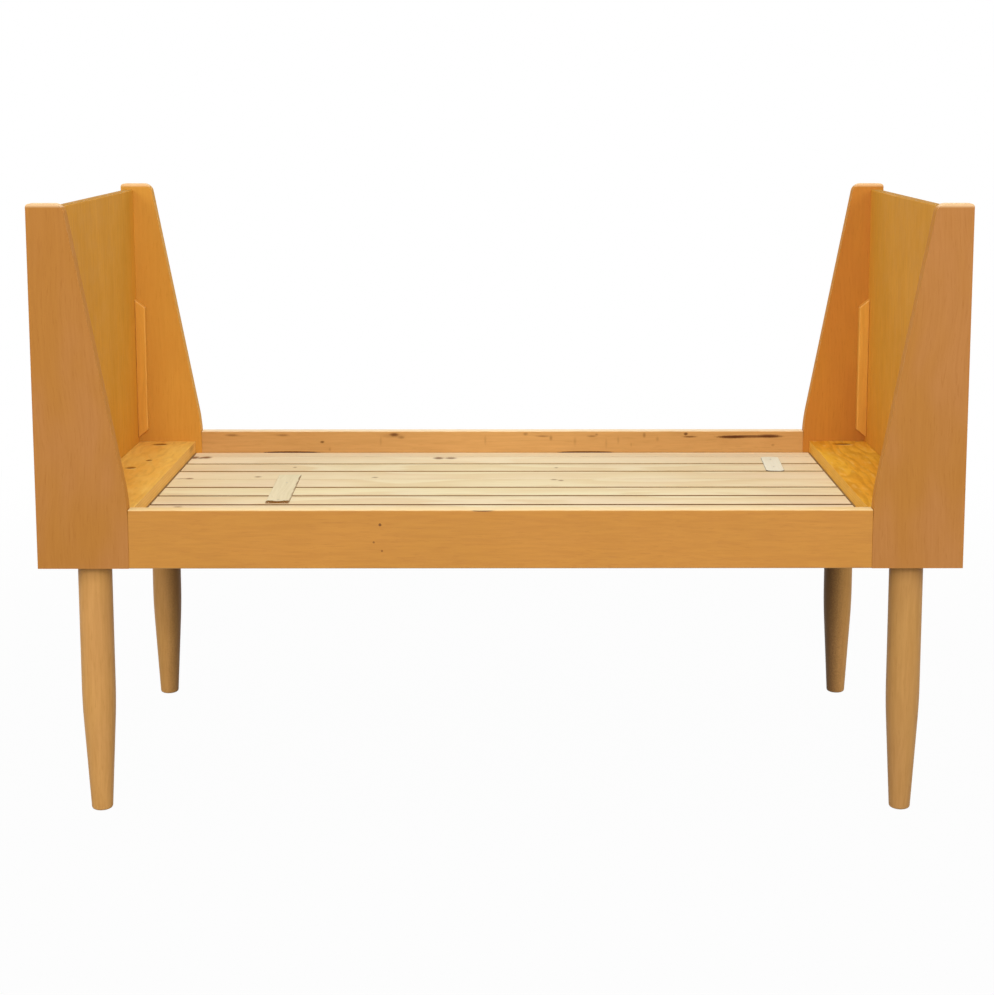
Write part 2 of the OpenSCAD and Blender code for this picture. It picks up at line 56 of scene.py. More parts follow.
Point = tuple[float, float, float]
Colour = tuple[float, float, float, float]
Piece = bpy.types.Object
Finish = bpy.types.Material
Socket = bpy.types.NodeSocket
Value = Socket | float | Point | Colour
Tone = Socket | Colour | str
EdgeTest = Callable[[Vector, Vector], bool]

X, Y, Z = 0, 1, 2
WHITE = (1.0, 1.0, 1.0, 1.0)
# While a piece is modelled, its rubbed faces carry the second slot. The others keep their own.
ROUNDED = 1
OWN_SLOT = -1
WORN = "worn"
SMOOTH_ANGLE = math.radians(40)
MERGE_DISTANCE = 0.00001
TOUCH = 0.0001
# How far a mark reaches into the wood.
SKIN = 0.004


def shade(code: str) -> Colour:
    """Turns a six digit colour code into the linear colour that shaders use.

    Args:
        code: Red, green and blue as two hexadecimal digits each.

    Returns:
        The same colour as linear red, green, blue and alpha.
    """
    parts = [int(code[i:i + 2], 16) / 255 for i in (0, 2, 4)]
    linear = [c / 12.92 if c <= 0.04045 else ((c + 0.055) / 1.055) ** 2.4 for c in parts]
    return (linear[0], linear[1], linear[2], 1.0)


class Grain(Enum):
    """Axis that the grain of a board follows, with the order that brings it to the front."""

    ALONG_X = ("X", "Y", "Z")
    ALONG_Y = ("Y", "X", "Z")
    ALONG_Z = ("Z", "X", "Y")


class Element(Enum):
    """What is tested and selected in edit mode."""

    EDGE = "EDGE"
    POINT = "VERT"


# Modelling


def pick(piece: Piece) -> None:
    """Makes one object the only selected one, and the active one.

    Args:
        piece: The object.
    """
    bpy.ops.object.select_all(action="DESELECT")
    piece.select_set(True)
    bpy.context.view_layer.objects.active = piece


def name_piece(piece: Piece, name: str) -> None:
    """Gives an object and its mesh the same name."""
    piece.name = name
    piece.data.name = name


@contextmanager
def editing(piece: Piece) -> Iterator[None]:
    """Opens a piece in edit mode with all of it selected, and closes it afterwards.

    Args:
        piece: The mesh to work on.

    Yields:
        Nothing; the operators act on the open piece.
    """
    pick(piece)
    bpy.ops.object.mode_set(mode="EDIT")
    bpy.ops.mesh.select_mode(type="EDGE")
    bpy.ops.mesh.select_all(action="SELECT")
    yield
    bpy.ops.object.mode_set(mode="OBJECT")


def select(piece: Piece, wanted: Callable[..., bool], element: Element = Element.EDGE) -> bool:
    """Selects only those edges or points of an open piece that pass a test.

    Args:
        piece: The mesh that is open in edit mode.
        wanted: The test, given the places of an edge's two ends, or of a point.
        element: Whether edges or points are tested.

    Returns:
        Whether any passed.
    """
    bpy.ops.mesh.select_mode(type=element.value)
    bpy.ops.mesh.select_all(action="DESELECT")
    mesh = bmesh.from_edit_mesh(piece.data)
    if element is Element.EDGE:
        chosen = [e for e in mesh.edges if wanted(e.verts[0].co, e.verts[1].co)]
    else:
        chosen = [v for v in mesh.verts if wanted(v.co)]
    for part in chosen:
        part.select_set(True)
    bmesh.update_edit_mesh(piece.data)
    return bool(chosen)


def settle(piece: Piece, name: str) -> Piece:
    """Names a new primitive, puts its place into its mesh and gives it two empty slots.

    Args:
        piece: The primitive that was just added.
        name: The piece's name.

    Returns:
        The same object.
    """
    name_piece(piece, name)
    pick(piece)
    bpy.ops.object.transform_apply(location=True, rotation=True, scale=True)
    for _ in range(ROUNDED + 1):
        bpy.ops.object.material_slot_add()
    return piece


def block(name: str, low: Vector, high: Vector) -> Piece:
    """Adds a plain block between two corners, as the start of a board.

    Args:
        name: The piece's name.
        low: Its lowest corner.
        high: Its highest corner.

    Returns:
        The new object.
    """
    bpy.ops.object.select_all(action="DESELECT")
    bpy.ops.mesh.primitive_cube_add(size=1, location=(low + high) / 2, scale=high - low)
    return settle(bpy.context.active_object, name)


def same(a: float, b: float) -> bool:
    """Tells whether two places agree to a tenth of a millimetre."""
    return abs(a - b) < TOUCH


def along(axis: int) -> EdgeTest:
    """Gives the test for edges that run along one axis."""
    return lambda a, b: all(same(a[i], b[i]) for i in (X, Y, Z) if i != axis)


def at(axis: int, level: float) -> EdgeTest:
    """Gives the test for edges whose two ends lie at one level of an axis."""
    return lambda a, b: same(a[axis], level) and same(b[axis], level)


def both(first: EdgeTest, second: EdgeTest) -> EdgeTest:
    """Gives the test for edges that pass two tests."""
    return lambda a, b: first(a, b) and second(a, b)


def either(first: EdgeTest, second: EdgeTest) -> EdgeTest:
    """Gives the test for edges that pass at least one of two tests."""
    return lambda a, b: first(a, b) or second(a, b)


def round_edges(piece: Piece, wanted: EdgeTest, reach: float, segments: int = 3,
                worn: bool = True) -> None:
    """Rounds the edges that pass a test.

    Args:
        piece: The board.
        wanted: The test for an edge, given both ends.
        reach: Distance from an edge to where its rounding starts.
        segments: How many faces the rounding has.
        worn: Whether it is a rubbed edge, whose faces are marked, or a corner of the outline.
    """
    with editing(piece):
        if select(piece, wanted):
            bpy.ops.mesh.bevel(offset=reach, offset_type="OFFSET", segments=segments, profile=0.5,
                               affect="EDGES", clamp_overlap=worn, material=ROUNDED if worn else OWN_SLOT)


def saw(piece: Piece, place: Point, outward: Point, through: bool = True) -> None:
    """Saws off what lies outward of a plane and closes the cut, or only adds a line of points."""
    with editing(piece):
        bpy.ops.mesh.bisect(plane_co=place, plane_no=outward, use_fill=through, clear_outer=through)


def twin(piece: Piece, name: str) -> Piece:
    """Copies a piece, with a mesh of its own.

    Args:
        piece: The piece to copy.
        name: Name of the copy.

    Returns:
        The copy.
    """
    pick(piece)
    bpy.ops.object.duplicate()
    name_piece(bpy.context.active_object, name)
    return bpy.context.active_object


def mirrored_copy(piece: Piece, name: str, flip: Point) -> Piece:
    """Copies a piece to the other end or side of the bed.

    Args:
        piece: The piece to copy.
        name: Name of the copy.
        flip: Scale about the bed's middle, with -1 along a mirrored axis.

    Returns:
        The copy.
    """
    copy = twin(piece, name)
    with editing(copy):
        bpy.ops.transform.resize(value=flip, center_override=(0, 0, 0))
        bpy.ops.mesh.remove_doubles(threshold=MERGE_DISTANCE)
        bpy.ops.mesh.normals_make_consistent(inside=False)
    return copy


def moved_copy(piece: Piece, name: str, shift: Point) -> Piece:
    """Copies a piece and moves the copy, with its new place in its mesh.

    Args:
        piece: The piece to copy.
        name: Name of the copy.
        shift: How far the copy is moved.

    Returns:
        The copy.
    """
    copy = twin(piece, name)
    with editing(copy):
        bpy.ops.transform.translate(value=shift)
    return copy


def mark_wear(piece: Piece) -> None:
    """Writes how worn each point is: full in the middle of a rounding, none on a flat face.

    Args:
        piece: The piece, whose rounded faces carry the second slot.
    """
    mesh = piece.data
    worn = [1.0] * len(mesh.vertices)
    for face in mesh.polygons:
        if face.material_index != ROUNDED:
            for corner in face.vertices:
                worn[corner] = 0.0
        face.material_index = 0
    layer = mesh.attributes.new(WORN, "FLOAT", "POINT")
    layer.data.foreach_set("value", worn)


def smooth(piece: Piece) -> None:
    """Shades roundings softly and keeps the wide faces flat.

    Args:
        piece: The modelled piece.
    """
    pick(piece)
    bpy.ops.object.shade_smooth_by_angle(angle=SMOOTH_ANGLE)
    modifier = piece.modifiers.new("even_normals", "WEIGHTED_NORMAL")
    modifier.keep_sharp = True
    bpy.ops.object.modifier_apply(modifier=modifier.name)


# Node trees


class Graph:
    """A node tree under construction, with short calls for the nodes that the finishes share."""

    def __init__(self, tree: bpy.types.NodeTree) -> None:
        """Wraps a node tree."""
        self.tree = tree

    def add(self, kind: str, inputs: dict[str | int, Value] | None = None,
            **settings: object) -> bpy.types.Node:
        """Adds a node, sets its properties and feeds its inputs.

        Args:
            kind: The node's type.
            inputs: Values or sockets by the input's name or number.
            **settings: Plain properties of the node.

        Returns:
            The node.
        """
        node = self.tree.nodes.new(kind)
        for name, value in settings.items():
            setattr(node, name, value)
        for key, value in (inputs or {}).items():
            if isinstance(value, Socket):
                self.tree.links.new(value, node.inputs[key])
            else:
                node.inputs[key].default_value = value
        return node

    def use(self, group: bpy.types.NodeTree, **inputs: Value) -> bpy.types.NodeOutputs:
        """Places a node group, feeds the inputs that are named and gives its outputs."""
        return self.add("ShaderNodeGroup", inputs, node_tree=group).outputs

    def maths(self, operation: str, a: Value, b: Value = 0.0) -> Socket:
        """Adds one step of arithmetic and gives its result."""
        return self.add("ShaderNodeMath", {0: a, 1: b}, operation=operation).outputs[0]

    def times(self, a: Value, b: Value) -> Socket:
        """Multiplies two values."""
        return self.maths("MULTIPLY", a, b)

    def size(self, value: Value) -> Socket:
        """Gives a value without its sign."""
        return self.maths("ABSOLUTE", value)

    def vector(self, operation: str, a: Value, b: Value) -> Socket:
        """Adds one step of vector arithmetic and gives its result."""
        return self.add("ShaderNodeVectorMath", {0: a, 1: b}, operation=operation).outputs[0]

    def length(self, value: Value) -> Socket:
        """Gives the length of a vector."""
        return self.add("ShaderNodeVectorMath", {0: value}, operation="LENGTH").outputs["Value"]

    def split(self, place: Value) -> bpy.types.NodeOutputs:
        """Gives the parts of a vector, by number or by the axis's letter."""
        return self.add("ShaderNodeSeparateXYZ", {0: place}).outputs

    def join(self, *parts: Value) -> Socket:
        """Makes a vector of its three parts."""
        return self.add("ShaderNodeCombineXYZ", dict(enumerate(parts))).outputs[0]

    def noise(self, place: Value, scale: Value, detail: float = 2.0, roughness: float = 0.5,
              stretch: float = 1.0) -> Socket:
        """Adds a noise that varies over the surface.

        Args:
            place: The pattern's coordinates, in metres.
            scale: Waves in a metre.
            detail: Number of finer layers.
            roughness: Strength of the finer layers.
            stretch: Share of the scale along the grain, less than 1 for long streaks.

        Returns:
            The noise, from 0 to 1.
        """
        if stretch != 1.0:
            place = self.vector("MULTIPLY", place, (stretch, 1.0, 1.0))
        return self.add("ShaderNodeTexNoise", {"Vector": place, "Scale": scale, "Detail": detail,
                                               "Roughness": roughness}).outputs["Fac"]

    def between(self, value: Value, low: Value, high: Value, start: float = 0.0,
                end: float = 1.0) -> Socket:
        """Turns the stretch of a value from low to high softly into one from start to end."""
        return self.add("ShaderNodeMapRange", {"Value": value, "From Min": low, "From Max": high,
                                               "To Min": start, "To Max": end},
                        interpolation_type="SMOOTHSTEP").outputs["Result"]

    def blend(self, share: Value, a: Tone, b: Tone) -> Socket:
        """Mixes two colours, each a socket, a colour or its code, by the share of the second."""
        first, second = (shade(tone) if isinstance(tone, str) else tone for tone in (a, b))
        return self.add("ShaderNodeMix", {0: share, 6: first, 7: second}, data_type="RGBA").outputs[2]

    def facing(self, axis: int) -> Socket:
        """Gives how far the surface faces along an axis of the bed, from -1 to 1."""
        return self.split(self.add("ShaderNodeTexCoord").outputs["Normal"])[axis]

    def turned(self, place: Value, grain: Grain) -> Socket:
        """Gives a place's coordinates with the axis of the grain first."""
        parts = self.split(place)
        return self.join(*(parts[letter] for letter in grain.value))


class Group(Graph):
    """A shader node group under construction, with named sockets."""

    def __init__(self, name: str, inputs: dict[str, float | Point | None], *outputs: str) -> None:
        """Starts the group.

        Args:
            name: The group's name.
            inputs: Default value by input name: a number, a vector, or None for a vector without one.
            *outputs: Names of its outputs, which are all plain values.
        """
        super().__init__(bpy.data.node_groups.new(name, "ShaderNodeTree"))
        sockets = self.tree.interface
        for label, value in inputs.items():
            kind = "NodeSocketFloat" if isinstance(value, float) else "NodeSocketVector"
            socket = sockets.new_socket(label, in_out="INPUT", socket_type=kind)
            if value is not None:
                socket.default_value = value
        for label in outputs:
            sockets.new_socket(label, in_out="OUTPUT", socket_type="NodeSocketFloat")
        self.source = self.add("NodeGroupInput").outputs

    def give(self, **values: Socket) -> bpy.types.NodeTree:
        """Links the results to the group's outputs and gives the finished group."""
        self.add("NodeGroupOutput", values)
        return self.tree


class Effects:
    """Node groups that several finishes share, each built once. Their grain runs along X."""

    def __init__(self) -> None:
        """Builds the groups."""
        self.figure = self._figure()
        self.rings = self._rings()
        self.spot = self._spot()
        self.wear_and_highlight = self._wear_and_highlight()

    def _figure(self) -> bpy.types.NodeTree:
        """Builds the plain figure of a board: clouds, streaks, short flecks and pores.

        Returns:
            The group.
        """
        g = Group("board_figure", {"Place": None, "Streaks": 240.0, "Flecks": 520.0},
                  "Cloud", "Streak", "Fleck", "Pore")
        wander = g.times(g.noise(g.source["Place"], 5.0, 1.0), 0.03)
        place = g.vector("ADD", g.source["Place"], g.join(0.0, wander, 0.0))
        dashes = g.noise(place, g.source["Flecks"], 1.0, stretch=0.09)
        return g.give(Cloud=g.noise(place, 11.0, 2.0, 0.55, stretch=0.4),
                      Streak=g.noise(place, g.source["Streaks"], 3.0, 0.6, stretch=0.06),
                      Fleck=g.between(dashes, 0.60, 0.72),
                      Pore=g.noise(place, 1700.0, 1.0, stretch=0.04))

    def _rings(self) -> bpy.types.NodeTree:
        """Builds the growth rings of a plain sawn or peeled face, as long arches.

        Returns:
            The group.
        """
        g = Group("growth_rings", {"Place": None, "Rings": 90.0, "Wander": 0.02, "Drift": 0.006,
                                   "Arch": 0.25, "Across": 1.0}, "Ring")
        parts = g.split(g.source["Place"])
        bend = g.noise(g.source["Place"], 7.0, stretch=0.35)
        drift = g.noise(g.source["Place"], 28.0, stretch=0.2)
        reach = g.length(g.join(g.times(parts[X], g.source["Arch"]),
                                g.times(parts[Y], g.source["Across"]),
                                g.times(parts[Z], g.source["Across"])))
        warped = g.maths("ADD", reach, g.times(bend, g.source["Wander"]))
        warped = g.maths("ADD", warped, g.times(drift, g.source["Drift"]))
        tooth = g.maths("FRACT", g.times(warped, g.source["Rings"]))
        early = g.between(tooth, 0.05, 0.85)
        late = g.between(tooth, 0.86, 1.0, 1.0, 0.0)
        return g.give(Ring=g.times(early, late))

    def _spot(self) -> bpy.types.NodeTree:
        """Builds one soft spot at a place, with a slightly ragged rim.

        Returns:
            The group, which gives 1 inside the spot and 0 outside.
        """
        g = Group("soft_spot", {"Place": None, "Centre": (0.0, 0.0, 0.0), "Reach": (0.01, 0.01, 0.01),
                                "Ragged": 0.35, "Core": 0.7}, "Mask")
        offset = g.vector("SUBTRACT", g.source["Place"], g.source["Centre"])
        distance = g.length(g.vector("DIVIDE", offset, g.source["Reach"]))
        rough = g.maths("SUBTRACT", g.noise(g.source["Place"], 420.0), 0.5)
        rim = g.maths("ADD", distance, g.times(rough, g.source["Ragged"]))
        return g.give(Mask=g.between(rim, g.source["Core"], 1.0, 1.0, 0.0))

    def _wear_and_highlight(self) -> bpy.types.NodeTree:
        """Builds the wear of rounded edges, broken up along the edge, with a painted highlight on the
        roundings that face upward.

        Returns:
            The group, which gives 1 where the finish is rubbed away, most on upward roundings, where it is
            also a painted highlight.
        """
        g = Group("rubbed_edge_and_highlight", {"Place": None, "Amount": 0.6, "Upward": 0.0}, "Mask")
        worn = g.add("ShaderNodeAttribute", attribute_name=WORN, attribute_type="GEOMETRY")
        broken = g.between(g.noise(g.source["Place"], 38.0, 3.0, 0.6), 0.3, 0.7, 0.45, 1.0)
        # Upward roundings get more: wear and a painted highlight.
        upward_highlight = g.between(g.source["Upward"], -0.2, 0.7, 0.25, 1.0)
        mask = g.times(g.times(worn.outputs["Fac"], broken), upward_highlight)
        return g.give(Mask=g.times(mask, g.source["Amount"]))


# Finishes


@dataclass(frozen=True)
class Mark:
    """A knot, stain, scuff, painted shade or painted highlight at one place on the bed.

    The centre and the reach along each axis are in metres, strength is how much of its colour
    shows, and core is the share of the reach within which it doesn't fade.
    """

    centre: Point
    reach: Point
    strength: float = 0.8
    core: float = 0.7


@dataclass(frozen=True)
class Varnish:
    """How a finish shines, how far its roughness varies, and its relief."""

    roughness: float = 0.4
    spread: float = 0.12
    specular: float = 0.15
    bump: float = 0.12
    depth: float = 0.0004


GLOSSY = Varnish(roughness=0.38, spread=0.10, specular=0.25, bump=0.25)
SATIN = Varnish(roughness=0.46, spread=0.10, specular=0.12, bump=0.25)
DULL = Varnish(roughness=0.55, spread=0.10, specular=0.03, bump=0.25)
BARE = Varnish(roughness=0.75, spread=0.10, specular=0.02, bump=0.20)


class Surface(Graph):
    """A material under construction, with object coordinates and the shared effects."""

    def __init__(self, name: str, effects: Effects) -> None:
        """Starts a material with nothing in it.

        Args:
            name: The material's name.
            effects: The shared node groups.
        """
        self.material = bpy.data.materials.new(name)
        self.material.use_nodes = True
        self.material.node_tree.nodes.clear()
        super().__init__(self.material.node_tree)
        self.effects = effects
        self.place = self.add("ShaderNodeTexCoord").outputs["Object"]

    def marked(self, colour: Value, marks: tuple[Mark, ...], tone: str) -> Value:
        """Gives a colour the tone of the marks, where they are.

        Args:
            colour: The colour so far.
            marks: The marks.
            tone: Colour code of a mark.

        Returns:
            The colour with its marks.
        """
        for mark in marks:
            spot = self.use(self.effects.spot, Place=self.place, Centre=mark.centre, Reach=mark.reach,
                            Core=mark.core)
            colour = self.blend(self.times(spot["Mask"], mark.strength), colour, tone)
        return colour

    def shine(self, colour: Value, height: Value, varnish: Varnish, metallic: float) -> Finish:
        """Adds the surface shader and the output.

        Args:
            colour: Colour of the surface.
            height: Relief of the surface.
            varnish: How it shines.
            metallic: 1 for bare metal, or else 0.

        Returns:
            The material.
        """
        patches = self.noise(self.place, 24.0, 3.0, 0.6)
        roughness = self.between(patches, 0.25, 0.75, varnish.roughness - varnish.spread / 2,
                                 varnish.roughness + varnish.spread / 2)
        relief = self.add("ShaderNodeBump", {"Strength": varnish.bump, "Distance": varnish.depth,
                                             "Height": height})
        shader = self.add("ShaderNodeBsdfPrincipled",
                          {"Base Color": colour, "Roughness": roughness, "Metallic": metallic,
                           "Specular IOR Level": varnish.specular, "Normal": relief.outputs["Normal"]})
        self.add("ShaderNodeOutputMaterial", {"Surface": shader.outputs["BSDF"]})
        return self.material


class Coating(ABC):
    """What the kinds of finish share: each has a name and a varnish, and paints a surface."""

    name: str
    varnish: Varnish
    metallic: ClassVar[float] = 0.0

    @abstractmethod
    def paint(self, s: Surface) -> tuple[Value, Value]:
        """Wires a surface's nodes and gives its colour and its height."""

    def build(self, effects: Effects) -> Finish:
        """Builds the material.

        Args:
            effects: The shared node groups.

        Returns:
            The material.
        """
        surface = Surface(self.name, effects)
        colour, height = self.paint(surface)
        return surface.shine(colour, height, self.varnish, self.metallic)


@dataclass(frozen=True)
class Board(Coating):
    """Clear finished solid wood or veneer, with figure, marks and rubbed edges.

    Its wood goes from the middle tone to a warm one in clouds and to a deep one in streaks and
    flecks. A lighter tone shows as wear on rounded edges, strongest on upward roundings as a painted
    highlight, as a painted highlight on the top face, and as wear and a painted highlight in a band
    near the top. Faces that don't face along cut_axis may have a tone of their own, and so may the face to
    the wall.
    """

    name: str
    middle: str
    deep: str
    warm: str
    wear_and_highlight: str
    grain: Grain
    streak_share: float = 0.35
    fleck_share: float = 0.3
    cloud_share: float = 0.6
    wear: float = 0.6
    top_highlight: float = 0.0
    marks: tuple[Mark, ...] = ()
    mark_colour: str = "5a300e"
    cut_side: str | None = None
    cut_axis: int = Z
    wear_and_highlight_above: float | None = None
    wear_and_highlight_fade: float = 0.0050
    wall_side: str | None = None
    varnish: Varnish = Varnish()

    def paint(self, s: Surface) -> tuple[Value, Value]:
        """Wires the colour of the board and its relief.

        Args:
            s: The surface.

        Returns:
            The colour and the height of the surface.
        """
        figure = s.use(s.effects.figure, Place=s.turned(s.place, self.grain))
        tint = s.times(s.between(figure["Cloud"], 0.35, 0.65), self.cloud_share)
        colour = s.blend(tint, self.middle, self.warm)
        streak = s.times(s.between(figure["Streak"], 0.3, 0.72), self.streak_share)
        colour = s.blend(streak, colour, self.deep)
        fleck = s.times(figure["Fleck"], self.fleck_share)
        colour = s.blend(fleck, colour, self.deep)
        colour = s.marked(colour, self.marks, self.mark_colour)
        if self.cut_side:
            side = s.between(s.size(s.facing(self.cut_axis)), 0.5, 0.9, 1.0, 0.0)
            colour = s.blend(side, colour, self.cut_side)
        if self.wall_side:
            colour = s.blend(s.between(s.facing(Y), 0.5, 0.9, 0.0, 0.75), colour, self.wall_side)
        # Wear of the rounded edges, with a painted highlight on upward roundings.
        worn = s.use(s.effects.wear_and_highlight, Place=s.place, Amount=self.wear, Upward=s.facing(Z))
        colour = s.blend(worn["Mask"], colour, self.wear_and_highlight)
        # Painted highlight on the top face.
        top = s.between(s.facing(Z), 0.6, 0.95, 0.0, self.top_highlight)
        colour = s.blend(top, colour, self.wear_and_highlight)
        # Wear and a painted highlight in a band near the top.
        if self.wear_and_highlight_above:
            ragged = s.maths("ADD", s.split(s.place)["Z"], s.times(figure["Cloud"], 0.001))
            band = s.between(ragged, self.wear_and_highlight_above - self.wear_and_highlight_fade, self.wear_and_highlight_above, 0.0, 0.8)
            colour = s.blend(band, colour, self.wear_and_highlight)
        return colour, s.maths("SUBTRACT", figure["Pore"], s.times(fleck, 0.6))


@dataclass(frozen=True)
class Plywood(Coating):
    """Varnished plywood with a peeled face, and its plies in sight along the edge.

    The rings of the face lie round log_centre, given with the grain first, and ply is the
    thickness of one ply.
    """

    name: str
    light: str
    warm: str
    dark: str
    edge_light: str
    edge_dark: str
    log_centre: Point
    ply: float = 0.0022
    rings: float = 130.0
    wander: float = 0.15
    drift: float = 0.020
    arch: float = 0.06
    across: float = 0.35
    ring_share: float = 0.75
    mottle_share: float = 0.5
    marks: tuple[Mark, ...] = ()
    mark_colour: str = "8a4e0c"
    rim_highlight_marks: tuple[Mark, ...] = ()
    pale_colour: str = "fbdc84"
    varnish: Varnish = Varnish(roughness=0.5, specular=0.05, bump=0.25, depth=0.0005)

    def paint(self, s: Surface) -> tuple[Value, Value]:
        """Wires the colour of face and edge and their relief.

        Args:
            s: The surface.

        Returns:
            The colour and the height of the surface.
        """
        turned = s.turned(s.place, Grain.ALONG_Y)
        rings = s.use(s.effects.rings, Place=s.vector("SUBTRACT", turned, self.log_centre),
                      Rings=self.rings, Wander=self.wander, Drift=self.drift, Arch=self.arch,
                      Across=self.across)
        figure = s.use(s.effects.figure, Place=turned, Streaks=300.0, Flecks=600.0)
        ring = s.times(s.maths("POWER", rings["Ring"], 1.8), self.ring_share)
        face = s.blend(s.between(figure["Cloud"], 0.35, 0.65), self.light, self.warm)
        face = s.blend(ring, face, self.dark)
        mottle = s.noise(turned, 110.0, 3.0, 0.65, stretch=0.22)
        brown = s.times(s.between(mottle, 0.50, 0.70), self.mottle_share)
        face = s.blend(brown, face, self.dark)
        pale = s.times(s.between(mottle, 0.30, 0.48, 0.6, 0.0), self.mottle_share)
        face = s.blend(pale, face, self.pale_colour)
        face = s.blend(s.times(figure["Streak"], 0.2), face, self.dark)
        turn = s.maths("FRACT", s.maths("DIVIDE", s.split(s.place)["Z"], 2 * self.ply))
        band = s.between(s.size(s.maths("SUBTRACT", turn, 0.5)), 0.21, 0.29)
        edge = s.blend(s.times(band, 0.5), self.edge_light, self.edge_dark)
        edge = s.blend(brown, edge, self.edge_dark)
        colour = s.blend(s.between(s.size(s.facing(Z)), 0.5, 0.8), edge, face)
        # Painted highlight on the near rims of the open knots.
        colour = s.marked(colour, self.rim_highlight_marks, self.pale_colour)
        colour = s.marked(colour, self.marks, self.mark_colour)
        return colour, s.maths("SUBTRACT", figure["Pore"], ring)


@dataclass(frozen=True)
class BarePine(Coating):
    """Unfinished pine of which each slat was cut from another board.

    The slats follow each other at the pitch, from the first one's edge. The rear ones carry painted light,
    their side faces in the gaps painted shade that is darkest at the front, and their rounded edges a
    painted highlight.
    """

    name: str
    light: str
    late: str
    pink: str
    gap_shade: str
    gap_shade_rear: str
    first: float
    pitch: float
    rings: float = 170.0
    ring_share: float = 0.35
    arris: str = "ffe6c0"
    rear_painted_light: str = "ffeecb"
    marks: tuple[Mark, ...] = ()
    mark_colour: str = "74400f"
    varnish: Varnish = Varnish(roughness=0.72, spread=0.1, specular=0.02, bump=0.2, depth=0.0005)

    def paint(self, s: Surface) -> tuple[Value, Value]:
        """Wires the colour of the slats and their relief.

        Args:
            s: The surface.

        Returns:
            The colour and the height of the surface.
        """
        parts = s.split(s.place)
        turn = s.maths("DIVIDE", s.maths("SUBTRACT", parts["Y"], self.first), self.pitch)
        chance = s.add("ShaderNodeTexWhiteNoise", {"W": s.maths("FLOOR", turn)}, noise_dimensions="1D")
        shift = s.vector("MULTIPLY", chance.outputs["Color"], (3.0, 0.05, 0.03))
        within = s.times(s.maths("SUBTRACT", s.maths("FRACT", turn), 0.5), self.pitch)
        board = s.vector("ADD", s.join(parts["X"], within, parts["Z"]), shift)
        rings = s.use(s.effects.rings, Place=board, Rings=self.rings, Wander=0.02, Arch=0.004)
        figure = s.use(s.effects.figure, Place=board, Streaks=260.0, Flecks=500.0)
        tint = s.times(s.between(figure["Cloud"], 0.35, 0.7), 0.5)
        tint = s.maths("ADD", tint, s.times(chance.outputs["Value"], 0.4))
        colour = s.blend(tint, self.light, self.pink)
        ring = s.times(rings["Ring"], self.ring_share)
        colour = s.blend(ring, colour, self.late)
        streak = s.times(s.between(figure["Streak"], 0.45, 0.75), 0.3)
        colour = s.blend(streak, colour, self.late)
        # Painted light on the rear slats.
        colour = s.blend(s.between(parts["Y"], 0.16, 0.24, 0.0, 0.42), colour, self.rear_painted_light)
        colour = s.marked(colour, self.marks, self.mark_colour)
        # Painted shade on the side faces in the gaps, darkest at the front.
        side = s.between(s.size(s.facing(Z)), 0.25, 0.75, 1.0, 0.0)
        gap_shade = s.blend(s.between(parts["Y"], -0.26, 0.16), self.gap_shade, self.gap_shade_rear)
        colour = s.blend(side, colour, gap_shade)
        # Painted highlight on the rounded slat edges.
        worn = s.use(s.effects.wear_and_highlight, Place=s.place, Amount=0.6, Upward=s.facing(Z))
        colour = s.blend(worn["Mask"], colour, self.arris)
        return colour, s.maths("SUBTRACT", figure["Pore"], ring)


@dataclass(frozen=True)
class Steel(Coating):
    """Plain bright steel of screws, nails and nuts."""

    metallic: ClassVar[float] = 1.0
    name: str
    light: str
    dull: str
    varnish: Varnish = Varnish(roughness=0.38, spread=0.2, bump=0.1, depth=0.0001)

    def paint(self, s: Surface) -> tuple[Value, Value]:
        """Wires the colour of the metal and its relief.

        Args:
            s: The surface.

        Returns:
            The colour and the height of the surface.
        """
        figure = s.use(s.effects.figure, Place=s.place, Streaks=900.0, Flecks=1500.0)
        stain = s.between(s.noise(s.place, 180.0, 3.0), 0.4, 0.7)
        return s.blend(stain, self.light, self.dull), figure["Streak"]


# Pieces of the bed


class Slot(Enum):
    """Material slots of the bed's record."""

    WING = "wing_wood"
    PANEL = "panel_wood"
    RAIL = "rail_wood"
    SHELF = "shelf_plywood"
    SLAT = "slat_wood"
    STRIP = "strip_wood"
    INNER = "inner_wood"
    LEG = "leg_wood"
    STEEL = "steel"


# Scale about the bed's middle that brings a rear right piece, or a right one, to each place.
UNMIRRORED = (1.0, 1.0, 1.0)
CORNERS = {"rear_right": UNMIRRORED, "rear_left": (-1.0, 1.0, 1.0),
           "front_right": (1.0, -1.0, 1.0), "front_left": (-1.0, -1.0, 1.0)}
SIDES = {"right": UNMIRRORED, "left": (-1.0, 1.0, 1.0)}


def fit(piece: Piece, finish: Finish, slot: Slot, *nodes: str) -> None:
    """Finishes a piece and sets it on the bed in place of its plain solids.

    Args:
        piece: The modelled piece.
        finish: Its material.
        slot: The record's material slot; not used.
        *nodes: The solids that it stands for.
    """
    mark_wear(piece)
    smooth(piece)
    piece.data.materials.clear()
    piece.data.materials.append(finish)
    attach(piece, BODY)
    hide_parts(*nodes)
    LOG.info("%s stands for %s", piece.name, ", ".join(nodes))


def copies(first: Piece, places: dict[str, Point], kind: str) -> dict[str, Piece]:
    """Mirrors a piece to every place where the bed has one like it, and gives all by place."""
    return {place: first if flip == UNMIRRORED else mirrored_copy(first, f"{place}_{kind}", flip)
            for place, flip in places.items()}


@dataclass
class SubAssembly(ABC):
    """Pieces that belong together, and the effects for their finishes."""

    effects: Effects

    @abstractmethod
    def make(self) -> None:
        """Makes the pieces and dresses them."""


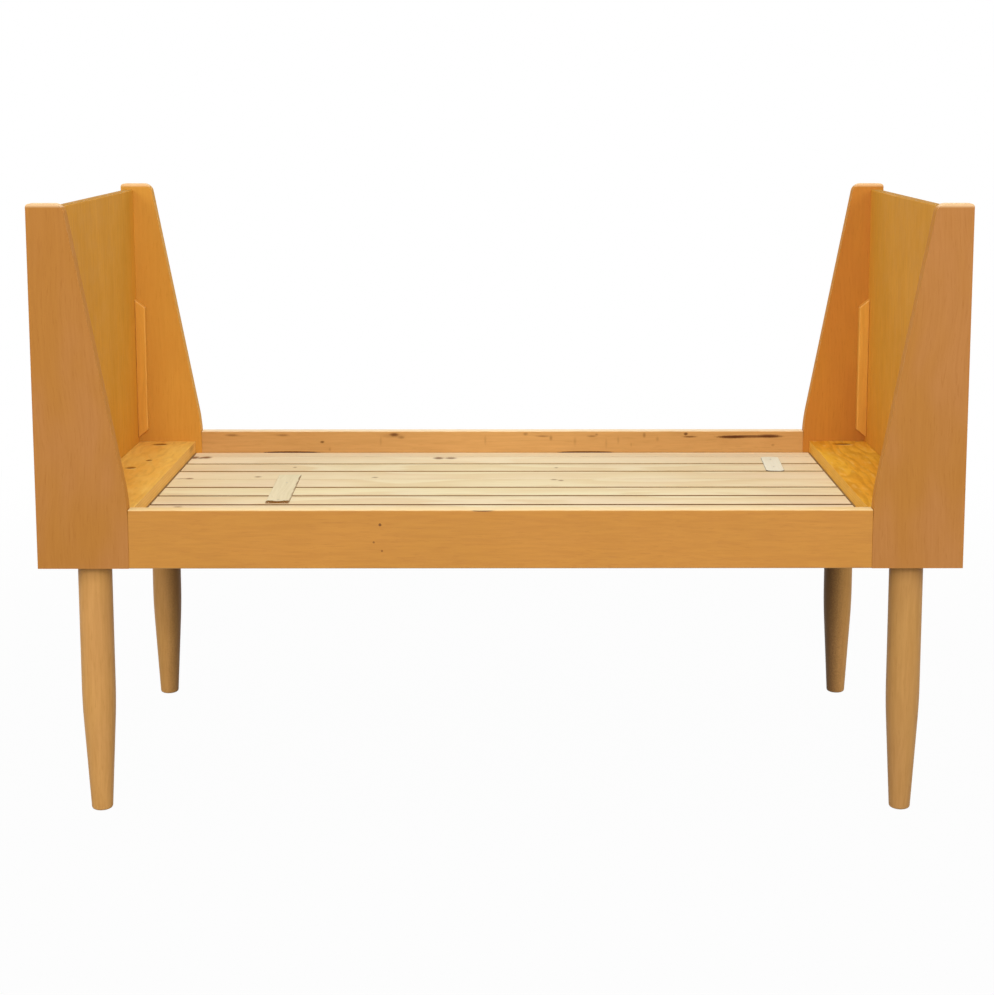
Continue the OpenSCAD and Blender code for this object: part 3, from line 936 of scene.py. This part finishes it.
@dataclass
class Wings(SubAssembly):
    """The four tapered boards at the corners, cut from one pattern."""

    top_width: float = 0.050
    knee_rise: float = 0.009
    knee_radius: float = 0.300
    inner_radius: float = 0.015
    outer_radius: float = 0.005
    edge_radius: float = 0.0036
    joint_chamfer: float = 0.0007
    arc_faces: int = 8
    corner_faces: int = 5
    # How far below the top the band of wear and painted highlight is full.
    top_band_drop: float = 0.0010

    def woods(self) -> dict[str, Finish]:
        """Finishes the front wings alike, and each rear wing in a lighter tone of its own, as painted light
        for the inside of the bed, which gets less light; the right one is darker than the left. All wings
        get a painted highlight on the top face and near the top.

        Returns:
            The woods by corner.
        """
        front = Board("front_wing_wood", "b27837", "985d27", "b87e4b", "f4cd9c", Grain.ALONG_Z,
                      streak_share=0.16, fleck_share=0.2, wear=0.35, top_highlight=1.0, cut_side="c08237",
                      cut_axis=Y, wear_and_highlight_above=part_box("front_left_wing")[1].z - self.top_band_drop, varnish=DULL)
        rear = replace(front, streak_share=0.18, fleck_share=0.3, wear=0.4, wall_side="b87c3e")
        left = replace(rear, name="rear_left_wing_wood", middle="ce953e", deep="b5772b", warm="c88d39",
                       wear_and_highlight="f4cb98", cut_side="d8a04c")
        right = replace(rear, name="rear_right_wing_wood", middle="c08031", deep="a16423", warm="ba7631",
                        wear_and_highlight="f2c894", cut_side="cc8c3c")
        front_wood = front.build(self.effects)
        return {"front_left": front_wood, "front_right": front_wood,
                "rear_left": left.build(self.effects), "rear_right": right.build(self.effects)}

    def board(self) -> Piece:
        """Models the rear right wing.

        Returns:
            The board, not yet finished.
        """
        low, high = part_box("rear_right_wing")
        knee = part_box("rear_rail")[1].z + self.knee_rise
        tip = high.x - self.top_width
        run, rise = tip - low.x, high.z - knee
        slant = math.atan2(run, rise)
        piece = block("rear_right_wing_board", low, high)
        saw(piece, (low.x, low.y, knee), (-rise, 0.0, run))
        knee_reach = self.knee_radius * math.tan(slant / 2)
        inner_reach = self.inner_radius * math.tan((math.pi / 2 - slant) / 2)
        for x, z, reach, segments in ((low.x, knee, knee_reach, self.arc_faces),
                                      (tip, high.z, inner_reach, self.arc_faces),
                                      (high.x, high.z, self.outer_radius, self.corner_faces)):
            round_edges(piece, both(at(X, x), at(Z, z)), reach, segments, worn=False)

        def on_joint(a: Vector, b: Vector) -> bool:
            """Tells whether an edge lies along the joint with the rail."""
            return at(X, low.x)(a, b) and same(a.y, b.y)

        def on_outline(a: Vector, b: Vector) -> bool:
            """Tells whether an edge follows the outline, away from the joint."""
            return same(a.y, b.y) and not on_joint(a, b)

        round_edges(piece, on_outline, self.edge_radius)
        round_edges(piece, on_joint, self.joint_chamfer, segments=1)
        return piece

    def make(self) -> None:
        """Models one wing, mirrors it to the other corners and dresses all four."""
        woods = self.woods()
        for corner, piece in copies(self.board(), CORNERS, "wing_board").items():
            fit(piece, woods[corner], Slot.WING, f"{corner}_wing")


# Marks of the rear rail, scuffs and smears and two painted shadow lines at its foot: place along it, depth
# below its arris, reach along and down, strength, core.
REAR_RAIL_MARKS = (
    (-0.469, 0.005, 0.018, 0.0034, 0.50, 0.1), (-0.381, 0.005, 0.015, 0.0030, 0.45, 0.1),
    (-0.313, 0.017, 0.005, 0.0030, 0.75, 0.3), (-0.190, 0.006, 0.030, 0.0060, 0.30, 0.0),
    (-0.188, 0.004, 0.011, 0.0046, 0.80, 0.2), (-0.176, 0.009, 0.009, 0.0040, 0.40, 0.1),
    (0.155, 0.007, 0.012, 0.0026, 0.50, 0.1), (0.163, 0.004, 0.004, 0.0030, 0.40, 0.1),
    (0.246, 0.005, 0.004, 0.0070, 0.45, 0.1), (0.318, 0.003, 0.005, 0.0036, 0.85, 0.3),
    (0.325, 0.008, 0.017, 0.0024, 0.75, 0.2), (0.398, 0.0085, 0.033, 0.0034, 0.95, 0.4),
    (0.431, 0.0075, 0.068, 0.0030, 0.80, 0.5), (0.464, 0.0070, 0.026, 0.0044, 0.85, 0.3),
    (0.040, 0.003, 0.006, 0.0040, 0.45, 0.1), (0.070, 0.007, 0.016, 0.0024, 0.50, 0.1),
    # The marks at 0.0352 below the arris, here and on the next line, are painted shadow lines along the
    # rail's foot.
    (0.084, 0.010, 0.004, 0.0070, 0.40, 0.1), (-0.366, 0.0352, 0.052, 0.0020, 0.90, 0.8),
    (0.145, 0.0352, 0.054, 0.0020, 0.90, 0.8), (0.4696, 0.0227, 0.004, 0.0030, 0.35, 0.1),
    (-0.2115, 0.016, 0.003, 0.0120, 0.20, 0.0), (-0.300, 0.030, 0.003, 0.0050, 0.30, 0.0),
    (-0.030, 0.014, 0.003, 0.0120, 0.22, 0.0), (0.1256, 0.016, 0.004, 0.0110, 0.22, 0.0),
    (0.180, 0.020, 0.003, 0.0140, 0.20, 0.0), (0.2007, 0.014, 0.003, 0.0100, 0.22, 0.0),
    (0.2234, 0.022, 0.002, 0.0060, 0.22, 0.0), (0.2688, 0.012, 0.004, 0.0070, 0.25, 0.0),
)
# Small holes in the front rail: place along it, depth below its arris, radius and strength.
FRONT_RAIL_HOLES = ((-0.169, 0.019, 0.0024, 0.8), (-0.178, 0.044, 0.0018, 0.6),
                    (-0.1665, 0.0565, 0.0018, 0.6))


@dataclass
class Rails(SubAssembly):
    """The two long boards between the wings."""

    edge_radius: float = 0.0017
    end_chamfer: float = 0.0007
    arris: float = 0.0020

    def woods(self) -> dict[str, Finish]:
        """Finishes both rails, with the marks that each has got in use, painted shadow lines at the rear
        rail's foot and a painted highlight on their top faces.

        Returns:
            The woods of the front and the rear rail.
        """
        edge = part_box("front_rail")[1].z - self.arris
        front_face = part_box("front_rail")[0].y
        inner_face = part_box("rear_rail")[0].y
        nick = Mark((-0.025, front_face + 0.0005, edge + 0.0012), (0.018, 0.003, 0.0018), 0.85)
        front_marks = tuple(Mark((x, front_face, edge - down), (radius, SKIN, radius), strength)
                            for x, down, radius, strength in FRONT_RAIL_HOLES) + (nick,)
        rear_marks = tuple(Mark((x, inner_face, edge - down), (wide, SKIN, tall), strength, core)
                           for x, down, wide, tall, strength, core in REAR_RAIL_MARKS)
        # Both rails get a painted highlight on their top faces.
        front = Board("front_rail_wood", "c4873a", "ae7030", "be8437", "eacf94", Grain.ALONG_X,
                      top_highlight=0.9, marks=front_marks, varnish=GLOSSY)
        rear = Board("rear_rail_wood", "c9985a", "af8146", "c29154", "fae0b4", Grain.ALONG_X,
                     top_highlight=0.9, marks=rear_marks, varnish=SATIN)
        return {"front": front.build(self.effects), "rear": rear.build(self.effects)}

    def make(self) -> None:
        """Models and dresses both rails."""
        for side, wood in self.woods().items():
            low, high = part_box(f"{side}_rail")
            piece = block(f"{side}_rail_board", low, high)
            round_edges(piece, along(X), self.edge_radius)
            round_edges(piece, either(at(X, low.x), at(X, high.x)), self.end_chamfer, segments=1)
            fit(piece, wood, Slot.RAIL, f"{side}_rail")


@dataclass
class EndPanels(SubAssembly):
    """The two upright panels that close the ends."""

    top_radius: float = 0.0022
    edge_chamfer: float = 0.0005

    def make(self) -> None:
        """Models one panel, mirrors it and dresses both."""
        veneer = Board("panel_veneer", "dc9e3c", "be812d", "d49736", "e8bc78", Grain.ALONG_Z, wear=0.15,
                       cut_side="b3802f", cut_axis=X, varnish=DULL).build(self.effects)
        low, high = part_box("right_end_panel")
        first = block("right_panel_board", low, high)
        round_edges(first, both(along(Y), at(Z, high.z)), self.top_radius)
        round_edges(first, either(along(Z), at(Z, low.z)), self.edge_chamfer, segments=1)
        for side, piece in copies(first, SIDES, "panel_board").items():
            fit(piece, veneer, Slot.PANEL, f"{side}_end_panel")


@dataclass
class Cleats(SubAssembly):
    """The four mitred blocks that stand in the corners between wings and panels."""

    mitre: float = 0.014
    edge_radius: float = 0.0020
    proud: float = 0.0002

    def make(self) -> None:
        """Models one cleat, mirrors it and dresses all four."""
        wood = Board("cleat_wood", "dda246", "c18734", "d79a3f", "fcc880", Grain.ALONG_Z, wear=0.8,
                     varnish=DULL).build(self.effects)
        low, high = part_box("rear_right_cleat")
        low = low - Vector((self.proud, self.proud, 0.0))
        first = block("rear_right_cleat_block", low, high)
        width = high.x - low.x
        saw(first, (high.x, low.y, high.z), (-self.mitre, 0.0, width))
        saw(first, (high.x, low.y, low.z), (-self.mitre, 0.0, -width))
        round_edges(first, either(at(Y, low.y), at(X, low.x)), self.edge_radius, segments=2)
        for corner, piece in copies(first, CORNERS, "cleat_block").items():
            fit(piece, wood, Slot.PANEL, f"{corner}_cleat")


@dataclass(frozen=True)
class OpenKnot:
    """A knot that fell out of a shelf's veneer: its place, and half its length, width and depth."""

    x: float
    y: float
    reach: Point


OPEN_KNOTS = {
    "left": (OpenKnot(-0.589, 0.271, (0.0145, 0.0080, 0.0015)),
             OpenKnot(-0.580, 0.129, (0.0055, 0.0055, 0.0012)),
             OpenKnot(-0.5975, 0.068, (0.0090, 0.0070, 0.0012))),
    "right": (OpenKnot(0.585, 0.272, (0.0176, 0.0080, 0.0015)),),
}
# Marks on the shelves' noses: the first left one is painted shade on the rear end of the nose face; the
# others are dark spots near the rear ends.
NOSE_MARKS = {
    "left": (Mark((-0.5295, 0.262, 0.432), (0.012, 0.040, 0.010), 0.45, 0.1),
             Mark((-0.551, 0.284, 0.4375), (0.012, 0.006, SKIN), 0.35, 0.2)),
    "right": (Mark((0.5285, 0.283, 0.424), (0.007, 0.012, 0.010), 0.50, 0.2),),
}


@dataclass
class EndShelves(SubAssembly):
    """The two plywood shelves at the ends, with small open knots in their top faces.

    A knot is dark in rings, each with its width and depth as shares of the knot's, its strength
    and its core.
    """

    edge_radius: float = 0.0009
    knot_rings: tuple[tuple[float, ...], ...] = ((1.2, 1.8, 0.6, 0.4), (1.0, 1.0, 1.0, 0.7))
    rim_shift: float = 0.003

    def plywood(self, side: str, top: float) -> Finish:
        """Finishes one shelf, with its knots darkened and a painted highlight on their near rims.

        Args:
            side: Which shelf.
            top: Level of its top face.

        Returns:
            The plywood.
        """
        dark = tuple(Mark((knot.x, knot.y, top), (knot.reach[X] * wide, knot.reach[Y] * deep, SKIN),
                          strength, core)
                     for wide, deep, strength, core in self.knot_rings for knot in OPEN_KNOTS[side])
        # A painted highlight on the near rim of each open knot.
        pale = tuple(Mark((knot.x + self.rim_shift, knot.y - knot.reach[Y], top),
                          (knot.reach[X], knot.reach[Y], SKIN), 0.8, 0.3) for knot in OPEN_KNOTS[side])
        if side == "left":
            ply = Plywood("left_shelf_plywood", "f4c762", "efb44e", "d09a43", "edba64", "d8a54f",
                          (0.30, -0.53, 0.36), ring_share=0.25, mottle_share=0.42)
        else:
            ply = Plywood("right_shelf_plywood", "efbc3d", "eba731", "c58725", "e9b34b", "d49e3d",
                          (0.10, 0.50, 0.36), rings=80.0, ring_share=0.5)
        return replace(ply, marks=dark + NOSE_MARKS[side], rim_highlight_marks=pale).build(self.effects)

    def open_knot(self, piece: Piece, knot: OpenKnot, top: float) -> None:
        """Sinks a shallow oval hollow into a shelf, where a knot fell out of the veneer.

        Args:
            piece: The shelf.
            knot: The knot.
            top: Level of the shelf's top face.
        """
        bpy.ops.object.select_all(action="DESELECT")
        bpy.ops.mesh.primitive_uv_sphere_add(segments=24, ring_count=12, radius=1,
                                             location=(knot.x, knot.y, top), scale=knot.reach)
        hollow = bpy.context.active_object
        pick(piece)
        cut = piece.modifiers.new("open_knot", "BOOLEAN")
        cut.operation = "DIFFERENCE"
        cut.object = hollow
        cut.solver = "EXACT"
        bpy.ops.object.modifier_apply(modifier=cut.name)
        bpy.data.objects.remove(hollow)

    def make(self) -> None:
        """Models one shelf, mirrors it, opens the knots and dresses both."""
        low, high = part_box("right_end_shelf")
        first = block("right_shelf_board", low, high)
        round_edges(first, both(along(Y), at(X, low.x)), self.edge_radius, segments=2)
        for side, piece in copies(first, SIDES, "shelf_board").items():
            for knot in OPEN_KNOTS[side]:
                self.open_knot(piece, knot, high.z)
            fit(piece, self.plywood(side, high.z), Slot.SHELF, f"{side}_end_shelf")


# Knots in the slats: place along and across the bed, reach along and across, and strength.
DECK_KNOTS = (
    (-0.527, 0.256, 0.009, 0.015, 0.95), (-0.516, 0.252, 0.006, 0.009, 0.7),
    (-0.507, 0.257, 0.011, 0.013, 0.95), (-0.109, 0.250, 0.011, 0.012, 0.85),
    (-0.0885, 0.250, 0.012, 0.010, 0.8), (-0.505, 0.079, 0.008, 0.007, 0.75),
    (-0.517, 0.080, 0.016, 0.004, 0.45), (-0.3965, 0.093, 0.007, 0.007, 0.6),
    (-0.206, 0.088, 0.007, 0.006, 0.5), (0.084, 0.070, 0.007, 0.007, 0.5),
    (0.095, 0.063, 0.006, 0.006, 0.6), (0.090, 0.167, 0.004, 0.006, 0.5),
    (-0.3455, 0.171, 0.004, 0.006, 0.5), (-0.4865, -0.130, 0.009, 0.006, 0.55),
)


@dataclass
class Deck(SubAssembly):
    """The nine slats and the narrow filler beside the rear rail.

    A knot is dark in rings, each with its share of the knot's reach and strength, and its core.
    """

    knot_rings: tuple[tuple[float, ...], ...] = ((1.15, 0.55, 0.5), (0.8, 0.75, 0.3))
    edge_radius: float = 0.0007
    proud: float = 0.0002
    end_gap: float = 0.0010
    slat_count: int = 9
    pitch: float = 0.063
    half_gap: float = 0.004
    close_pairs: tuple[tuple[str, str, float], ...] = (("slat_6", "slat_7", 0.0015),
                                                       ("slat_9", "filler_slat", 0.0018))
    close_zone: float = 0.0080

    def pine(self) -> Finish:
        """Finishes the slats, with their knots and a slightly darker filler.

        Returns:
            The pine.
        """
        low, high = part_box("slat_1")
        marks = tuple(Mark((x, y, high.z), (rx * size, ry * size, SKIN), strength * share, core)
                      for size, share, core in self.knot_rings for x, y, rx, ry, strength in DECK_KNOTS)
        marks += (Mark((0.0, 0.277, high.z), (0.7, 0.013, SKIN), 0.10, 0.9),)
        # The two tones after the pink one are painted shade on the slats' side faces in the gaps, at the
        # front and at the rear.
        return BarePine("slat_pine", "ece0b8", "d6b77f", "ead6b6", "63360e", "9c783e",
                        first=low.y - self.half_gap, pitch=self.pitch, marks=marks).build(self.effects)

    def slat(self, node: str) -> Piece:
        """Models one slat to its solid's size, a little shorter and just over the nail heads.

        Args:
            node: The solid that the slat stands for.

        Returns:
            The slat, not yet finished.
        """
        low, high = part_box(node)
        gap = Vector((self.end_gap, 0.0, 0.0))
        piece = block(f"{node}_board", low + gap, high - gap + Vector((0.0, 0.0, self.proud)))
        round_edges(piece, lambda a, b: True, self.edge_radius, segments=2)
        return piece

    def close(self, row: dict[str, Piece], pair: tuple[str, str], gap: float) -> None:
        """Widens two neighbours towards each other, so that hardly a gap is left between them.

        Args:
            row: The slats by their solids' names.
            pair: The solids' names of the two neighbours, the nearer one first.
            gap: What is left between them.
        """
        near, far = (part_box(node) for node in pair)
        reach = (far[0].y - near[1].y - gap) / 2
        middle = (far[0].y + near[1].y) / 2
        for node, share in zip(pair, (1.0, -1.0)):
            with editing(row[node]):
                select(row[node], lambda p: abs(p.y - middle) < self.close_zone, Element.POINT)
                bpy.ops.transform.translate(value=(0.0, share * reach, 0.0))

    def make(self) -> None:
        """Models the first slat, copies it down the bed, adds the filler and dresses all."""
        first = self.slat("slat_1")
        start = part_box("slat_1")[0].y
        row = {"slat_1": first}
        for number in range(2, self.slat_count + 1):
            node = f"slat_{number}"
            row[node] = moved_copy(first, f"{node}_board", (0.0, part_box(node)[0].y - start, 0.0))
        row["filler_slat"] = self.slat("filler_slat")
        for near, far, gap in self.close_pairs:
            self.close(row, (near, far), gap)
        pine = self.pine()
        for node, piece in row.items():
            fit(piece, pine, Slot.SLAT, node)


@dataclass(frozen=True)
class Veneer:
    """A strip of veneer: its middle on the deck, its size, its turn in degrees and its corners."""

    x: float
    y: float
    size: Point
    turn: float
    corner_radius: float


@dataclass
class Strips(SubAssembly):
    """The thin veneer strips pinned across the slats: a long tie, torn at its end, and a short patch."""

    tie: Veneer = Veneer(-0.343, 0.0, (0.036, 0.212, 0.0014), 1.2, 0.003)
    patch: Veneer = Veneer(0.454, 0.195, (0.030, 0.120, 0.0014), -3.0, 0.0085)
    arris: float = 0.0004
    tear_middle: tuple[float, float] = (-0.341, -0.1020)
    tear_step: float = 0.0048
    tear_jog: float = 0.0010
    right_edge: float = -0.3258
    edge_slant: float = -0.0208

    def torn_end_and_shadow(self, deck: float) -> tuple[Mark, ...]:
        """Gives the marks of the tie's torn near end, dark as torn wood and as painted shade, and the
        painted shadow along its right edge, darkest at the rear.

        Args:
            deck: Level of the slats.

        Returns:
            The marks.
        """
        tear_x, tear_y = self.tear_middle
        # The dark torn near end: torn wood, and painted shade where the end lifts.
        end = tuple(Mark((tear_x + self.tear_step * i, tear_y + self.tear_jog * (i * i % 5), deck),
                         (0.0044, 0.0100, SKIN), 0.92, 0.8) for i in range(-3, 4))
        # Painted shadow along the tie's right edge, darkest at the rear.
        edge = tuple(Mark((self.right_edge + self.edge_slant * y, y, deck), (0.0018, 0.028, SKIN),
                          0.35 + 2.2 * (y + 0.08), 0.5) for y in (-0.08, -0.04, 0.0, 0.04, 0.08))
        return end + edge

    def strip(self, name: str, veneer: Veneer, deck: float) -> Piece:
        """Models one strip as a thin sheet with rounded corners that lies over the slats.

        Args:
            name: The strip's name.
            veneer: Its place and size.
            deck: Level of the slats.

        Returns:
            The strip, not yet finished.
        """
        width, length, thickness = veneer.size
        centre = Vector((veneer.x, veneer.y, deck))
        low = centre - Vector((width / 2, length / 2, 0.0))
        piece = block(name, low, low + Vector(veneer.size))
        round_edges(piece, along(Z), veneer.corner_radius, segments=5, worn=False)
        round_edges(piece, at(Z, low.z + thickness), self.arris, segments=1)
        with editing(piece):
            bpy.ops.transform.rotate(value=math.radians(-veneer.turn), orient_axis="Z",
                                     center_override=centre)
        return piece

    def make(self) -> None:
        """Models and dresses both strips."""
        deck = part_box("slat_1")[1].z
        # The dark side faces of both strips are painted shadow along their edges.
        tie_wood = Board("tie_veneer_wood", "e9dfbd", "d1c399", "e3d8b6", "f6ecc8", Grain.ALONG_Y,
                         marks=self.torn_end_and_shadow(deck), mark_colour="76490f", cut_side="7c4e18", varnish=BARE)
        patch_wood = Board("patch_veneer_wood", "eeedd1", "e7e0c2", "eeeddf", "fff4e0", Grain.ALONG_Y,
                           cut_side="3c2a18", varnish=BARE)
        for kind, veneer, wood in (("tie", self.tie, tie_wood), ("patch", self.patch, patch_wood)):
            piece = self.strip(f"{kind}_veneer", veneer, deck)
            fit(piece, wood.build(self.effects), Slot.STRIP, f"{kind}_strip")


# Painted shade on the inner sides of the rear legs, and on the front right one.
LEG_PAINTED_SHADE = (Mark((0.553, 0.266, 0.19), (0.046, 0.08, 2.0), 0.75, 0.25),
              Mark((-0.553, 0.266, 0.19), (0.034, 0.08, 2.0), 0.52, 0.25),
              Mark((0.582, -0.266, 0.19), (0.04, 0.06, 2.0), 0.17, 0.9))


@dataclass
class Legs(SubAssembly):
    """The four turned legs, straight at the top and tapered to the foot."""

    radius: float = 0.024
    foot_radius: float = 0.015
    taper_height: float = 0.160
    blend: float = 0.028
    rim: float = 0.0035
    top_chamfer: float = 0.0008
    sides: int = 96
    steps: int = 6

    def beech(self) -> Finish:
        """Finishes the legs, with their painted shade."""
        return Board("leg_beech", "cf9a56", "b47f40", "cc965a", "e4b87c", Grain.ALONG_Z,
                     marks=LEG_PAINTED_SHADE, mark_colour="3c2c22", varnish=SATIN).build(self.effects)

    def radius_at(self, height: float) -> float:
        """Gives the radius at a height above the floor, with a soft start of the taper.

        Args:
            height: Height above the floor.

        Returns:
            The radius there.
        """
        slope = (self.radius - self.foot_radius) / self.taper_height
        if height >= self.taper_height + self.blend:
            return self.radius
        if height <= self.taper_height - self.blend:
            return self.foot_radius + slope * height
        turn = (self.taper_height + self.blend - height) / (2 * self.blend)
        return self.radius - slope * self.blend * turn * turn

    def leg(self) -> Piece:
        """Models the rear right leg.

        Returns:
            The leg, not yet finished.
        """
        low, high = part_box("rear_right_leg")
        middle = (low + high) / 2
        bpy.ops.object.select_all(action="DESELECT")
        bpy.ops.mesh.primitive_cylinder_add(vertices=self.sides, radius=self.radius,
                                            depth=high.z - low.z, location=middle)
        piece = settle(bpy.context.active_object, "rear_right_leg_turning")
        heights = [low.z] + [self.taper_height - self.blend + 2 * self.blend * i / self.steps
                             for i in range(self.steps + 1)]
        for height in heights[1:]:
            saw(piece, (middle.x, middle.y, height), (0.0, 0.0, 1.0), through=False)
        with editing(piece):
            for height in heights:
                select(piece, lambda p: same(p.z, height), Element.POINT)
                share = self.radius_at(height) / self.radius
                bpy.ops.transform.resize(value=(share, share, 1.0),
                                         center_override=(middle.x, middle.y, height))
        round_edges(piece, at(Z, low.z), self.rim, segments=4)
        round_edges(piece, at(Z, high.z), self.top_chamfer, segments=1)
        return piece

    def make(self) -> None:
        """Turns one leg, copies it to the other corners and dresses all four."""
        beech = self.beech()
        for corner, piece in copies(self.leg(), CORNERS, "leg_turning").items():
            fit(piece, beech, Slot.LEG, f"{corner}_leg")


@dataclass
class Inside(SubAssembly):
    """The carried-over parts under the deck, which keep their solids and get their finishes."""

    steel_nodes: tuple[str, ...] = ("leg_studs", "leg_nuts", "ledger_screws", "bearer_screws",
                                    "block_screws", "shelf_screws", "slat_nails", "cleat_pins",
                                    "strip_pins")

    def make(self) -> None:
        """Gives every solid that still shows its finish."""
        wood = Board("inner_pine", "c89a62", "a87c48", "bc8e58", "d8b080", Grain.ALONG_X,
                     varnish=Varnish(roughness=0.7)).build(self.effects)
        steel = Steel("zinc_steel", "b8b8b4", "8c8c88").build(self.effects)
        for node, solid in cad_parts.items():
            if solid.hide_render:
                continue
            for part in solid.material_slots:
                part.material = steel if node in self.steel_nodes else wood
            LOG.info("%s keeps its solid", node)


# Studio


@dataclass(frozen=True)
class Lamp:
    """A square soft box: its place, the height on the bed that it faces, its side and its watts.

    With glints, glossy surfaces reflect it.
    """

    name: str
    place: Point
    aim: float
    size: float
    power: float
    glints: bool = True

    def hang(self) -> None:
        """Hangs the lamp, facing the bed."""
        data = bpy.data.lights.new(self.name, "AREA")
        data.shape = "SQUARE"
        data.size = self.size
        data.energy = self.power
        body = bpy.data.objects.new(self.name, data)
        body.location = self.place
        way = Vector((0.0, 0.0, self.aim)) - Vector(self.place)
        body.rotation_euler = way.to_track_quat("-Z", "Y").to_euler()
        body.visible_glossy = self.glints
        bpy.context.scene.collection.objects.link(body)


@dataclass
class Studio:
    """Camera, lamps, floor and world."""

    camera_place: Point = (0.01446, -2.82657, 1.02046)
    camera_turn: Point = (math.pi / 2 - 0.13461, 0.0, -0.00295)
    sensor: float = 36.0
    lens: float = 66.196
    shift: tuple[float, float] = (-0.01932, -0.14824)
    view_end: float = 200.0
    floor_size: float = 40.0
    floor_greys: tuple[float, float] = (0.24, 0.26)
    floor_clouds: float = 1.5
    white_from: float = 0.9
    white_at: float = 2.6
    near_white: float = 0.975
    world_light: float = 0.22
    lamps: tuple[Lamp, ...] = (
        Lamp("front", (0.0, -4.2, 1.7), 0.45, 1.1, 95.0),
        Lamp("front_left", (-2.4, -3.4, 2.4), 0.45, 1.6, 42.0),
        Lamp("front_right", (2.4, -3.4, 2.4), 0.45, 1.6, 40.0),
        Lamp("left", (-3.2, -0.6, 2.4), 0.45, 1.6, 28.0),
        Lamp("right", (3.2, -0.6, 2.4), 0.45, 1.6, 26.0),
        Lamp("top", (0.0, 0.2, 3.4), 0.4, 3.0, 40.0),
        Lamp("back", (0.0, 4.2, 2.0), 0.5, 2.0, 60.0, glints=False),
    )

    def camera(self) -> None:
        """Places the camera."""
        data = bpy.data.cameras.new("camera")
        data.sensor_width = self.sensor
        data.lens = self.lens
        data.shift_x, data.shift_y = self.shift
        data.clip_end = self.view_end
        eye = bpy.data.objects.new("camera", data)
        eye.location = self.camera_place
        eye.rotation_euler = self.camera_turn
        bpy.context.scene.collection.objects.link(eye)
        bpy.context.scene.camera = eye

    @staticmethod
    def seen(g: Graph) -> Socket:
        """Tells the rays that show the background from those that light the bed.

        Args:
            g: The graph of the floor or the world.

        Returns:
            1 for rays from the camera and by gloss or glass, or else 0.
        """
        path = g.add("ShaderNodeLightPath").outputs
        shown = g.maths("MAXIMUM", path["Is Camera Ray"], path["Is Glossy Ray"])
        return g.maths("MAXIMUM", shown, path["Is Transmission Ray"])

    def floor(self, effects: Effects) -> None:
        """Lays the pale floor, which fades to white away from the bed and keeps its shadow.

        Args:
            effects: The shared node groups.
        """
        bpy.ops.object.select_all(action="DESELECT")
        bpy.ops.mesh.primitive_plane_add(size=self.floor_size, location=(0.0, 0.0, 0.0))
        plane = bpy.context.active_object
        plane.name = "floor"
        s = Surface("pale_floor", effects)
        white = s.between(s.length(s.place), self.white_from, self.white_at, self.near_white, 1.0)
        dark, light = ((grey, grey, grey, 1.0) for grey in self.floor_greys)
        tone = s.blend(s.noise(s.place, self.floor_clouds), dark, light)
        lit = s.add("ShaderNodeBsdfDiffuse", {"Color": tone})
        glow = s.add("ShaderNodeEmission", {"Color": WHITE, "Strength": 1.0})
        mixed = s.add("ShaderNodeMixShader", {0: s.times(self.seen(s), white), 1: lit.outputs[0],
                                              2: glow.outputs[0]})
        s.add("ShaderNodeOutputMaterial", {"Surface": mixed.outputs[0]})
        plane.data.materials.append(s.material)

    def world(self) -> None:
        """Fills the room with plain light, and shows it white."""
        sky = bpy.data.worlds.new("studio")
        sky.use_nodes = True
        sky.node_tree.nodes.clear()
        g = Graph(sky.node_tree)
        strength = g.between(self.seen(g), 0.0, 1.0, self.world_light, 1.0)
        glow = g.add("ShaderNodeBackground", {"Color": WHITE, "Strength": strength})
        g.add("ShaderNodeOutputWorld", {"Surface": glow.outputs[0]})
        bpy.context.scene.world = sky

    def make(self, effects: Effects) -> None:
        """Lays the floor, hangs the lamps and sets the view.

        Args:
            effects: The shared node groups.
        """
        self.floor(effects)
        self.world()
        for lamp in self.lamps:
            lamp.hang()
        bpy.context.scene.view_settings.view_transform = "Standard"
        LOG.info("studio is set")


def main() -> None:
    """Builds the bed around its solids, dresses it and lights it."""
    logging.basicConfig(level=logging.INFO, format="%(message)s")
    studio = Studio()
    studio.camera()
    effects = Effects()
    for kind in (Wings, Rails, EndPanels, Cleats, EndShelves, Deck, Strips, Legs, Inside):
        kind(effects).make()
    studio.make(effects)


if __name__ == "__main__":
    main()
